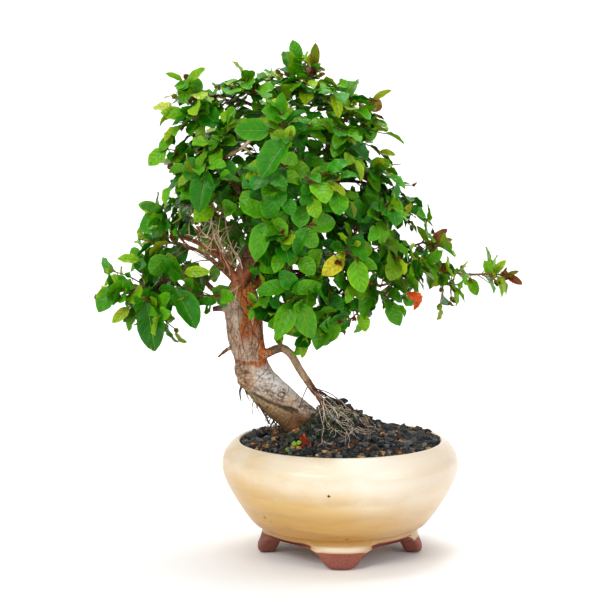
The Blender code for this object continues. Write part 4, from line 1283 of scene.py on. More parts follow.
@dataclass
class Spray:
    """A leafy spray: the route of its limb, and the stem, twigs, shoots and leaves at its end."""

    name: str
    route: list[Vector]
    heading: Vector
    thick: float
    split: int
    twigs: dict[int, tuple[float, list[Vector]]] = field(default_factory=dict)
    cores: list[BVHTree] = field(default_factory=list)
    leaves: list[Leaf] = field(default_factory=list)
    shoots: list[Strand] = field(default_factory=list)

    def __post_init__(self) -> None:
        """Cuts the limb for the first time."""
        self.cut()

    def cut(self) -> None:
        """Divides the route into the limb's wood and, just past the wood's end, the stem."""
        end = STEM_RADIUS[0] + 0.1
        middle = max(1, round(self.split * 0.4))
        knee, top, outer = self.route[middle], self.route[self.split], self.route[self.split:]
        onward = (top - knee).normalized()
        self.limb = [
            (*(self.route[0] - self.heading * 1.5), self.thick),
            (*knee, self.thick + (end - self.thick) * middle / self.split),
            (*top, end),
        ]
        self.stem = [top + onward * GAP, top + onward * 3.0]
        self.stem += [outer[round(share * (len(outer) - 1))] for share in (0.5, 1.0)]

    def foot(self) -> Shape:
        """The start of the stem, as a tube."""
        return tube([(*p, STEM_RADIUS[0]) for p in self.stem[:2]], 3, 0.5)

    def crosses(self, shape: Shape) -> bool:
        """Whether a shape crosses the spray's own stem or a twig of it."""
        tree = BVHTree.FromPolygons(*shape)
        return any(tree.overlap(core) for core in self.cores)

    def leaf_sites(self) -> list[tuple]:
        """Where a leaf of the solid may grow, best first, as (axis, distance, side).

        Returns:
            The places.
        """
        stem = path_length(self.stem)
        twigs = {index: path_length(twig) for index, (_, twig) in self.twigs.items()}
        sites = [("stem", stem, 0)] + [(index, length, 0) for index, length in twigs.items()]
        sites += [("stem", stem * share, (-1) ** i) for i, share in enumerate(NODE_SHARES[::-1])]
        sites += [(index, length * TWIG_NODE, 1) for index, length in twigs.items()]
        return sites + [("stem", stem * NODE_SHARES[-1], -1)]

    def leaf_at(self, index: int | str, distance: float, side: int) -> Leaf:
        """The leaf of the solid at a place.

        Args:
            index: The word stem, or a twig's number.
            distance: How far along it.
            side: Which side of it, or 0 at the end.

        Returns:
            The leaf.
        """
        rng = draws(f"leaf {self.name} {index} {round(distance, 2)} {side}")
        here, heading = place_along(self.stem if index == "stem" else self.twigs[index][1], distance)
        normal = (outward(here) * 0.95 + UP * 0.4 + anywhere(rng) * 0.45).normalized()
        beside = normal.cross(heading).normalized() * side
        lean = rng.uniform(0.75, 1.2)
        droop = UP * -rng.uniform(0.05, 0.5)
        along = (heading * (1.0 if side else 1.6) + beside * lean + droop).normalized()
        size = LEAF_LENGTH * rng.uniform(0.84, 1.16) * (1.0 if side else 0.84)
        return Leaf(here, along, squared(normal, along), size)

    def more_sites(self) -> list[tuple]:
        """Places for the rest of the leaves, as (axis, share of it, side, size), mixed.

        Returns:
            The places.
        """
        limb = [Vector(p[:3]) for p in self.limb]
        sites = [(limb, share, side, 0.9) for share in LIMB_SHARES for side in (-1, 1)]
        for k, share in enumerate(STEM_SHARES):
            sites.append((self.stem, share, (-1) ** k, 0.86))
            sites.append((self.stem, share + 0.03, (-1) ** (k + 1), 0.7))
        for _, twig in self.twigs.values():
            sites += [(twig, share, side, 0.78) for share in (0.3, 0.55, 0.8) for side in (-1, 1)]
            sites.append((twig, 1.0, 0, 0.8))
        for shoot in self.shoots:
            sites.append((shoot.points, 1.0, 0, 0.85))
            sites += [(shoot.points, share, side, 0.8) for share in (0.35, 0.62, 0.86) for side in (-1, 1)]
        draws(f"sites {self.name}").shuffle(sites)
        return sites


@dataclass
class Growth:
    """Where every limb, stem, twig and leaf grows, so that no spray crosses another.

    It repeats the layout of the solids' source, draw for draw, and then adds the finer shoots and the
    rest of the leaves.
    """

    limb_steps: int = 12
    bend_tries: int = 140
    bend_step: float = 0.25
    twigs_per_spray: int = 2
    twig_tries: int = 15
    twig_lengths: tuple[float, float] = (16, 23)
    leaves_per_spray: int = 7
    more_leaves: int = 40
    shoot_lengths: tuple[float, float] = (8, 15)
    inner_step: float = 6.5
    inner_lengths: tuple[float, float] = (9, 24)
    bare_round: float = 14.0
    joints: list[tuple] = field(default_factory=list)
    sprays: dict[str, Spray] = field(default_factory=dict)
    odd: dict[str, Leaf] = field(default_factory=dict)
    twiglets: dict[str, Strand] = field(default_factory=dict)
    taken: list[tuple] = field(default_factory=list)

    def __post_init__(self) -> None:
        """Starts with the main branches."""
        for path in BRANCHES.values():
            self.note_joints(path)

    def note_joints(self, path: Sequence[Quad]) -> None:
        """Keeps the places along a piece of wood where a limb may start.

        Args:
            path: Points with their radii.
        """
        for before, after in zip(path, path[1:]):
            start, end = Vector(before[:3]), Vector(after[:3])
            for share in (0.5, 1.0):
                radius = before[3] + (after[3] - before[3]) * share
                self.joints.append((start.lerp(end, share), (end - start).normalized(), radius))

    def grow_limb(self, name: str, tip: Vector) -> None:
        """Runs a limb from the joint that reaches its tip most readily.

        Args:
            name: The spray's name.
            tip: Where its stem ends.
        """
        def cost(joint: tuple) -> float:
            """How far and how crooked the way from a joint to the tip is.

            Args:
                joint: Its place, heading and radius.

            Returns:
                The cost.
            """
            reach = tip - joint[0]
            back = max(0.0, -joint[1].dot(reach.normalized()))
            return reach.length * (1 + 0.6 * back) + 2 * max(0.0, 34 - reach.length)

        start, heading, radius = min(self.joints, key=cost)
        reach = tip - start
        span = reach.length
        first = start + (heading * 0.45 + reach.normalized() * 0.55) * span * 0.33
        last = tip - (outward(tip) * 0.5 + reach.normalized() * 0.6) * span * 0.3
        route, lengths = [], []
        for step in range(self.limb_steps + 1):
            t = step / self.limb_steps
            u = 1 - t
            route.append(start * u**3 + first * 3 * u * u * t + last * 3 * u * t * t + tip * t**3)
            lengths.append(lengths[-1] + (route[-1] - route[-2]).length if step else 0.0)
        split = next(
            i for i, length in enumerate(lengths) if length >= radius * 1.2 + 3.0
            and lengths[-1] - length <= min(STEM_LENGTH, 0.7 * lengths[-1])
        )
        self.sprays[name] = Spray(name, route, heading, min(0.85 * radius, 1.35), split)
        self.note_joints(self.sprays[name].limb)

    def clear(self, shape: Shape, owner: str, kinds: Sequence[str]) -> bool:
        """Whether a shape crosses nothing that another owner has.

        Args:
            shape: Points and faces.
            owner: The spray that the shape belongs to.
            kinds: The kinds that count.

        Returns:
            True if it is clear.
        """
        tree, low, high = searched(shape)
        for kind, holder, other, other_low, other_high in self.taken:
            if kind not in kinds or (holder == owner and kind != "leaf"):
                continue
            if (low[0] < other_high[0] and high[0] > other_low[0]
                    and low[1] < other_high[1] and high[1] > other_low[1]
                    and low[2] < other_high[2] and high[2] > other_low[2] and tree.overlap(other)):
                return False
        return True

    def take(self, shape: Shape, owner: str, kind: str) -> None:
        """Marks the room that a shape fills."""
        self.taken.append((kind, owner, *searched(shape)))

    def bend_clear(self, spray: Spray) -> None:
        """Bends a stem's outer points until it is clear of all others, if a try succeeds.

        Args:
            spray: The stem's spray.
        """
        rng = draws(f"bend {spray.name}")
        foot, free = spray.stem[:2], spray.stem[2:]
        for attempt in range(self.bend_tries):
            shift = anywhere(rng).normalized() * (attempt * self.bend_step)
            bent = foot + [p + shift * (i + 1) / len(free) for i, p in enumerate(free)]
            if self.clear(tapered(bent, STEM_RADIUS, 0.55, 1), spray.name, WOODY):
                spray.stem = bent
                return

    def place_stems(self) -> None:
        """Settles every stem, then two side twigs on each."""
        sprays = self.sprays.values()
        for spray in sprays:
            while not self.clear(spray.foot(), spray.name, WOODY):
                spray.split += 1
                spray.cut()
            self.take(tube(spray.limb, 3, 0.3), spray.name, "wood")
        for spray in sprays:
            self.bend_clear(spray)
            self.take(tapered(spray.stem, STEM_RADIUS, 0.55), spray.name, "twig")
        for spray in sprays:
            spray.cores.append(BVHTree.FromPolygons(*tapered(spray.stem, STEM_RADIUS)))
            for index in range(self.twigs_per_spray):
                self.place_twig(spray, index)

    def place_twig(self, spray: Spray, index: int) -> None:
        """Grows one side twig from a spray's stem.

        Args:
            spray: The spray.
            index: The twig's number.
        """
        rng = draws(f"twig {spray.name} {index}")
        distance = path_length(spray.stem) * NODE_SHARES[index]
        knot, heading = place_along(spray.stem, distance)
        out = outward(knot)
        across = heading.cross(out).normalized()
        turn = rng.uniform(-0.6, 0.6) + (math.pi if index % 2 else 0.0)
        length = rng.uniform(*self.twig_lengths)
        for attempt in range(self.twig_tries):
            angle = turn + 0.3 * attempt * (-1) ** attempt
            sideways = across * math.cos(angle) + out * math.sin(angle) * 0.8
            aim = (heading * 0.6 + sideways.normalized()).normalized()
            points = [knot, knot + aim * length]
            guard = tapered([knot + aim * 1.5, points[1]], TWIG_RADIUS, 0.55)
            if self.clear(guard, spray.name, WOODY) and not spray.crosses(guard):
                spray.twigs[index] = (distance, points)
                self.take(guard, spray.name, "twig")
                spray.cores.append(BVHTree.FromPolygons(*tapered(points, TWIG_RADIUS)))
                return

    def place_odd_leaf(self, odd: str) -> None:
        """Hangs a leaf of another colour on a twiglet just past the end of a side twig.

        Args:
            odd: The leaf's name.
        """
        name, index, foot, tip = ODD_LEAVES[odd]
        knot, end = self.sprays[name].twigs[index][1]
        heading = (end - knot).normalized()
        foot, tip = Vector(foot), Vector(tip)
        axis = [end + heading * GAP, end + heading * 1.5, foot]
        along = (tip - foot).normalized()
        self.twiglets[odd] = Strand(axis, [TWIG_RADIUS[0], TWIG_RADIUS[0], TWIG_RADIUS[1]])
        self.odd[odd] = Leaf(foot, along, squared(Vector((0, -1, 0.5)), along), (tip - foot).length)
        self.take(tapered(axis[1:], TWIG_RADIUS, 0.55), odd, "twig")
        self.take(self.odd[odd].room(2.2, 0.0), odd, "leaf")

    def place_leaves(self) -> None:
        """Gives each spray the leaves of its solid, in rounds."""
        for odd in ODD_LEAVES:
            self.place_odd_leaf(odd)
        waiting = {name: spray.leaf_sites() for name, spray in self.sprays.items()}
        for name, index, _, _ in ODD_LEAVES.values():
            waiting[name] = [site for site in waiting[name] if site[0] != index]
        for _ in range(self.leaves_per_spray):
            for name, sites in waiting.items():
                while sites:
                    found = self.sprays[name].leaf_at(*sites.pop(0))
                    room = found.room(1.9, 0.12)
                    blocked = self.sprays[name].crosses(found.room(1.0, 0.25))
                    if not blocked and self.clear(room, name, (*WOODY, "leaf")):
                        self.take(room, name, "leaf")
                        self.sprays[name].leaves.append(found)
                        break

    def lay_out(self) -> None:
        """Works out the whole tree."""
        for name, tip in SPRAYS.items():
            self.grow_limb(name, Vector(tip))
        boughs = [
            tube(TRUNK, 12, knurl=0.06), tube(ROOT_LOBE, 9, knurl=0.05), tube(KNOB, 8, knurl=0.08),
            tube(AERIAL_ROOT, 7),
        ]
        boughs += [tube(path, 3) for path in ROOTLETS] + [tube(path, 5) for path in STUBS]
        boughs += [tube(path, 7 if path[0][3] > 6 else 5) for path in BRANCHES.values()]
        for shape in boughs:
            self.take(shape, "wood", "wood")
        for name, spray in self.sprays.items():
            self.take(tube(spray.limb, 3), name, "wood")
        self.place_stems()
        self.place_leaves()
        self.add_feature_leaves()
        for spray in self.sprays.values():
            self.add_shoots(spray)
        self.add_edge_shoots()
        self.add_leaves()
        self.bare_odd_leaves()

    def bare_odd_leaves(self) -> None:
        """Takes away the green leaves that hide one of another colour from the front."""
        for odd in self.odd.values():
            goal = seen(odd.at(0.5))
            for spray in self.sprays.values():
                spray.leaves = [
                    leaf for leaf in spray.leaves
                    if leaf.base.y > odd.base.y + 4 or (seen(leaf.at(0.5)) - goal).length > self.bare_round
                ]

    def add_shoots(self, spray: Spray) -> None:
        """Grows the finer side shoots of a spray's stem, which its solid leaves out.

        Args:
            spray: The spray.
        """
        rng = draws(f"shoots {spray.name}")
        whole = path_length(spray.stem)
        for index, share in enumerate(SHOOT_SHARES):
            knot, heading = place_along(spray.stem, whole * share)
            out = outward(knot)
            across = heading.cross(out).normalized() * (-1) ** index
            aim = heading * 0.7 + across * rng.uniform(0.5, 1.1) + out * rng.uniform(-0.3, 0.6)
            aim = (aim + Vector((0, 0, rng.uniform(-0.3, 0.2)))).normalized()
            length = rng.uniform(*self.shoot_lengths) * (1.1 - 0.4 * share)
            sag = UP * -length * 0.08
            points = [knot, knot + aim * length * 0.5 + sag * 0.3, knot + aim * length + sag]
            if self.clear(tapered(points[1:], (0.4, 0.3), 0.3), spray.name, WOODY):
                spray.shoots.append(Strand(points, [0.5, 0.42, 0.32]))

    def nearest(self, place: Vector) -> Spray:
        """The spray whose stem's middle is nearest to a place."""
        return min(self.sprays.values(), key=lambda spray: (spray.stem[2] - place).length)

    def add_edge_shoots(self) -> None:
        """Grows the shoots that shape the crown's edge, then short ones along the branches."""
        rng = draws("inner")
        for shoot in EDGE_SHOOTS:
            knot, tip = Vector(shoot[:3]), Vector(shoot[3:])
            spray = self.nearest(tip)
            spray.shoots.append(arched(knot, UP * 1.5, tip, (0.6, 0.5, 0.36)))
            axis = spray.shoots[-1].points
            for share, side in ((1.0, 0), (0.86, 1), (0.8, -1), (0.62, 1), (0.56, -1), (0.36, 1), (0.3, -1)):
                self.try_leaf(spray, drawn_leaf(rng, axis, share, side, 0.8))
        for path in BRANCHES.values():
            axis = [Vector(p[:3]) for p in path]
            whole = path_length(axis)
            distance = 0.3 * whole
            while distance < whole - 1:
                knot, heading = place_along(axis, distance)
                distance += self.inner_step * rng.uniform(0.7, 1.3)
                self.add_inner_shoot(rng, knot, heading)

    def add_inner_shoot(self, rng: random.Random, knot: Vector, heading: Vector) -> None:
        """Grows one short leafy shoot on a branch, if it has room, as part of the nearest spray.

        Args:
            rng: The draws.
            knot: Where it starts.
            heading: The branch's heading there.
        """
        aim = (ringed(heading, rng.uniform(0, math.tau)) + heading * 0.35 + UP * 0.25).normalized()
        length = rng.uniform(*self.inner_lengths)
        bend = anywhere(rng) * length * 0.12
        points = [knot, knot + aim * length * 0.5 + bend, knot + aim * length]
        clear = self.clear(tapered(points[1:], (0.4, 0.3), 0.3), "inner", WOODY)
        if clear and not in_opening(points[2]):
            self.nearest(points[1]).shoots.append(Strand(points, [0.55, 0.42, 0.32]))

    def add_feature_leaves(self) -> None:
        """Places the leaves that stand out, each on a twig of the nearest spray."""
        rng = draws("features")
        for row in FEATURE_LEAVES:
            foot, tip, tone = Vector(row[:3]), Vector(row[3:6]), row[6:]
            near = [(point, spray) for spray in self.sprays.values() for point in spray.stem]
            knot, spray = min(near, key=lambda pair: (pair[0] - foot).length)
            along = (tip - foot).normalized()
            facing = Vector((rng.uniform(-0.4, 0.4), -0.9, rng.uniform(0.0, 0.6)))
            twig = [knot, knot.lerp(foot, 0.55) + UP * 1.2, foot]
            spray.shoots.append(Strand(twig, [0.5, 0.42, 0.36]))
            width = rng.uniform(0.68, 0.82) * (0.68 if tone[0] > 0.65 else 1.0)
            leaf = Leaf(foot, along, squared(facing, along), (tip - foot).length * 1.02, tone, width)
            self.take(leaf.room(0.35, 0.2), spray.name, "leaf")
            spray.leaves.append(leaf)

    def add_leaves(self) -> None:
        """Gives the sprays the rest of their leaves, wherever there is room."""
        waiting = {name: spray.more_sites() for name, spray in self.sprays.items()}
        rngs = {name: draws(f"more {name}") for name in SPRAYS}
        for turn in range(self.more_leaves):
            for name, sites in waiting.items():
                if turn >= SPARSE.get(name, self.more_leaves):
                    continue
                while sites:
                    if self.try_leaf(self.sprays[name], drawn_leaf(rngs[name], *sites.pop(0))):
                        break

    def try_leaf(self, spray: Spray, leaf: Leaf) -> bool:
        """Keeps a leaf if there is room for it within the outline and clear of the dead twigs.

        Args:
            spray: The spray.
            leaf: The leaf.

        Returns:
            Whether it was kept.
        """
        tip = leaf.at(1.0)
        if not all(in_outline(p) and not in_opening(p) for p in (tip, leaf.base.lerp(tip, 0.5))):
            return False
        room = leaf.room(0.35, 0.2)
        if not self.clear(room, spray.name, ("wood", "leaf")):
            return False
        self.take(room, spray.name, "leaf")
        spray.leaves.append(leaf)
        return True


# Leaves


@dataclass(frozen=True)
class LeafPattern:
    """A leaf of unit length, from its stalk at the origin to its tip, with its face up."""

    name: str
    widths: tuple[float, ...] = (
        0.018, 0.065, 0.214, 0.304, 0.352, 0.37, 0.368, 0.352, 0.318, 0.258, 0.166, 0.01,
    )
    rises: tuple[float, ...] = (
        0.0, 0.016, 0.036, 0.048, 0.053, 0.05, 0.044, 0.035, 0.024, 0.01, -0.008, -0.034,
    )
    width: float = 1.0
    fold: float = 0.15
    curl: float = 0.0
    wave: float = 0.024
    twist: float = 0.0
    sway: float = 0.0
    teeth: float = 0.012

    def build(self) -> Piece:
        """Shapes a grid into the leaf, which is copied to each place.

        Returns:
            The leaf.
        """
        last = len(self.widths) - 1
        rest()
        bpy.ops.mesh.primitive_grid_add(x_subdivisions=4, y_subdivisions=last, size=1.0)
        leaf = bpy.context.object
        leaf.name = leaf.data.name = self.name
        bpy.ops.object.mode_set(mode="EDIT")
        bpy.ops.transform.translate(value=(0, 0.5, 0))
        for column, part in ((-2, 1), (-1, 0.42), (1, 0.42), (2, 1)):
            pick(leaf, lambda place: abs(place.x * 4 - column) < 0.1)
            bpy.ops.transform.translate(value=(0, 0, self.fold * part))
        for row, (half, rise) in enumerate(zip(self.widths, self.rises)):
            share = row / last
            across = 2 * half * self.width * (1 + self.teeth * (-1) ** row)
            middle = (0, share, 0)
            pick(leaf, lambda place: abs(place.y * last - row) < 0.1)
            bpy.ops.transform.resize(value=(across, 1, across), center_override=middle)
            if self.twist:
                bpy.ops.transform.rotate(value=self.twist * share, orient_axis="Y", center_override=middle)
            bpy.ops.transform.translate(value=(self.sway * share**2, 0, rise - self.curl * share**2))
        for side in (-1, 1):
            for row in range(2, last, 2):
                pick(leaf, lambda place: abs(place.y * last - row) < 0.1 and place.x * side > 0.11)
                bpy.ops.transform.translate(value=(0, 0, self.wave * (-1) ** (row // 2) * side))
        bpy.ops.mesh.select_all(action="SELECT")
        bpy.ops.mesh.remove_doubles(threshold=0.009)
        bpy.ops.object.mode_set(mode="OBJECT")
        bpy.ops.object.shade_smooth()
        return leaf


PATTERNS = (
    LeafPattern("leaf_ovate"),
    LeafPattern("leaf_broad", width=1.1, fold=0.1, curl=0.06, wave=0.034, sway=0.03),
    LeafPattern("leaf_slim", width=0.82, fold=0.24, curl=0.02, twist=0.25, sway=-0.04),
    LeafPattern("leaf_cupped", width=0.98, fold=0.28, curl=-0.06, wave=0.03),
    LeafPattern("leaf_drooping", width=0.94, fold=0.16, curl=0.13, twist=-0.3, wave=0.03),
    LeafPattern("leaf_flat", width=1.02, fold=0.05, curl=0.03, wave=0.03, sway=0.05),
)
CURLED = LeafPattern("leaf_curled", fold=0.7, curl=0.34, wave=0.1, twist=1.0, teeth=0.16)
ROUND = LeafPattern(
    "leaf_round", widths=(0.06, 0.12, 0.3, 0.39, 0.44, 0.45, 0.44, 0.41, 0.36, 0.28, 0.17, 0.02),
    rises=(0.0,) * 12, fold=0.1, wave=0.0, teeth=0.0,
)


def crumpled_leaf(finish: Finish) -> Piece:
    """A dry leaf of unit length, curled and crumpled.

    Args:
        finish: Its finish.

    Returns:
        The leaf.
    """
    leaf = CURLED.build()
    change(leaf, "SUBSURF", levels=1)
    roughen(leaf, "CLOUDS", 210, 420, noise_depth=1)
    leaf.data.materials.append(finish.material())
    return leaf


@dataclass
class Crown:
    """The leafy sprays, and the leaves of other colours."""

    growth: Growth
    slots: tuple[str, ...] = ("leaf_green", "leaf_deep", "leaf_young")

    def __post_init__(self) -> None:
        """Models the leaf patterns."""
        self.patterns = [pattern.build() for pattern in PATTERNS]
        for pattern in self.patterns:
            pattern.data.materials.append(Finish.LEAF.material())

    def tone(self, leaf: Leaf, rng: random.Random, young: bool) -> Triple:
        """How young, how dark and how rusty a leaf's green is; its darkness is a random darker tone plus
        painted shade, which grows towards the crown's middle.

        Args:
            leaf: The leaf.
            rng: The spray's draws.
            young: Whether it is at a shoot's tip.

        Returns:
            Three shares.
        """
        out = (leaf.base - CROWN_CENTRE).length / 130
        youth = min(1.0, max(0.0, 0.05 + 0.35 * out + rng.gauss(0.1, 0.2) + (0.15 if young else 0)))
        # Painted shade: leaves nearer the crown's middle get a darker green, on top of a random darker tone.
        dark_tone_and_shade = max(0.0, rng.uniform(-0.3, 0.7) + 0.35 * (0.7 - out))
        rust = 0.0
        if leaf.length < 11.5 and rng.random() < 0.3:
            rust = rng.uniform(0.3, 0.9)
        elif rng.random() < 0.03:
            rust = rng.uniform(0.25, 0.5)
        return youth, min(1.0, dark_tone_and_shade), rust

    def spray(self, spray: Spray) -> Piece:
        """Builds a spray's stem, twigs, shoots, buds and leaves as one piece.

        Args:
            spray: Its layout.

        Returns:
            The piece.
        """
        rng = draws(f"look {spray.name}")
        stem = spray.stem
        twigs = [twig for _, twig in spray.twigs.values()]
        start = Vector(spray.limb[-1][:3])
        strands = [Strand([start - (stem[1] - start) * 0.3, *stem], [1.1, 1.0, 0.9, 0.7, 0.45]).smooth()]
        strands += [arched(knot, UP * -0.6, end, (0.6, 0.5, 0.38)).smooth() for knot, end in twigs]
        strands += [shoot.smooth(3) for shoot in spray.shoots]
        for leaf in spray.leaves:
            stalk = leaf.at(0.12) + leaf.normal * leaf.length * 0.02
            strands.append(Strand([leaf.base, stalk], [0.42, 0.34]))
        pieces = [thread(f"{spray.name}_wood", strands, Finish.TWIG, 0)]
        tint(pieces[0], (0.0, 0.0, 0.0))
        for index, leaf in enumerate(spray.leaves):
            pattern = rng.choice(self.patterns)
            tone = leaf.tone or self.tone(leaf, rng, index < 3)
            if not leaf.tone and spray.name in RUSTY_TIPS and (leaf.base - stem[-1]).length < 7:
                tone = (0.9, 0.1, rng.uniform(0.35, 0.8))
                leaf = leaf.scaled(0.74)
            elif not leaf.tone and spray.name == "long_shoot":
                leaf = leaf.scaled(0.9)
            pieces.append(copied(pattern, leaf.matrix(), tone))
        for axis in (stem, *twigs, *(shoot.points for shoot in spray.shoots)):
            pieces += self.buds(axis, rng)
        return join(f"spray_{spray.name}_foliage", pieces)

    def buds(self, axis: Sequence[Vector], rng: random.Random) -> list[Piece]:
        """Three tiny new leaves at a shoot's end, on some shoots.

        Args:
            axis: The shoot.
            rng: The spray's draws.

        Returns:
            The leaves.
        """
        heading = (axis[-1] - axis[-2]).normalized()
        if rng.random() > 0.5:
            return []
        made = []
        turn = rng.uniform(0, math.tau)
        for k in range(3):
            along = (heading + ringed(heading, turn + k * 2.3) * 0.55).normalized()
            leaf = Leaf(axis[-1] - heading * 0.4, along, squared(heading, along), rng.uniform(3.6, 6.4))
            tone = (0.8, 0.0, rng.uniform(0.2, 0.95))
            made.append(copied(rng.choice(self.patterns), leaf.matrix(), tone))
        return made

    def odd_leaf(self, node: str, model: Piece, share: float) -> Piece:
        """Makes one leaf of another colour in the place of its solid.

        Args:
            node: The solid's node.
            model: The leaf of unit length, which is used up.
            share: Its share of the solid's length.

        Returns:
            The leaf on its twiglet.
        """
        leaf = self.growth.odd[node]
        twiglet = thread(f"{node}_twiglet", [self.growth.twiglets[node].smooth()], Finish.TWIG, 1)
        tint(twiglet, (0.0, 0.0, 0.0))
        blade = copied(model, leaf.scaled(share).matrix(), (0.5, 0.1, 0.0))
        bpy.data.objects.remove(model)
        return join(f"{node}_blade", [twiglet, blade])

    def build(self) -> None:
        """Builds every spray and odd leaf."""
        for index, (name, spray) in enumerate(self.growth.sprays.items()):
            keep(self.spray(spray), self.slots[index % 3], f"spray_{name}")
        for pattern in self.patterns:
            bpy.data.objects.remove(pattern)
        yellow = PATTERNS[2].build()
        yellow.data.materials.append(Finish.YELLOW.material())
        keep(self.odd_leaf("yellow_leaf", yellow, 1.0), "leaf_yellow", "yellow_leaf")
        withered = self.odd_leaf("withered_leaf", crumpled_leaf(Finish.WITHERED), 0.8)
        keep(withered, "leaf_withered", "withered_leaf")


# Wood

RIDGES = (
    ((-77, -1, 200, 5), (-79.6, -1, 184, 6.6), (-79.8, -1, 169, 6.6), (-77, -1, 156, 6), (-72, -1, 146, 6)),
    ((-68, -4, 200, 5), (-66, -5, 184, 7), (-64.5, -5, 168, 6.6), (-63, -4, 153, 6.4), (-61, -3, 143, 5)),
    ((-64, -3, 135, 9.8), (-71, -4, 140, 9), (-76.5, -5, 140.5, 7.4), (-80.4, -5.5, 140, 3.4)),
    ((-64, -5, 129, 7.6), (-71, -6, 132, 6.6), (-75.5, -6, 133, 5), (-78.4, -6, 133, 2)),
    ((-30, -8, 92, 5), (-38, -7.6, 101.5, 6.2), (-47, -7.4, 109, 6.6), (-56, -6.6, 117.5, 6),
     (-63, -5, 125, 5)),
)
TANGLE = (Vector((-75, -5, 214)), Vector((-108, -9, 243)))
LOOSE_TWIGS = (
    ((-73, -8, 207, 0.7), (-78, -14, 204, 0.6), (-84.5, -18, 200, 0.35)),
    ((-77, -10, 205, 0.6), (-79, -14, 196, 0.55), (-79.6, -14, 185, 0.3)),
    ((-70, -8, 213, 0.7), (-63, -14, 226, 0.6), (-60, -18, 240, 0.35)),
    ((-66, -9, 215, 0.6), (-58, -14, 222, 0.5), (-46, -18, 232, 0.3)),
    ((-72, -4, 216, 0.8), (-84, -6, 240, 0.6), (-88, -6, 270, 0.35)),
    ((-82, -8, 221, 0.7), (-94, -10, 240, 0.6), (-97, -12, 266, 0.3)),
    ((-87, -36, 302, 1.3), (-79, -40, 306, 1.5), (-71, -42, 311, 1.4), (-65, -43, 317, 1.7)),
    ((-72, -42, 310, 1.1), (-65, -43, 305, 0.6)),
)
RUSTY_BRANCHES = (
    ((-74, -6, 201, 3.4), (-72.5, -8, 209, 3.2), (-67, -9, 219, 2.7), (-61, -10, 231, 2.2),
     (-56, -11, 244, 1.6)),
    ((-77, -3, 206, 3), (-84, -5, 219, 2.3), (-95, -8, 230, 1.8), (-108, -10, 238, 1.4),
     (-120, -11, 242, 1)),
    ((-78, -2, 208, 1.8), (-88, -4, 226, 1.4), (-99, -6, 240, 1.1), (-108, -7, 250, 0.7)),
)
SLIM = {"left_lower": 0.62, "left_mid": 0.66, "right_lower": 0.8, "front_low": 0.7}


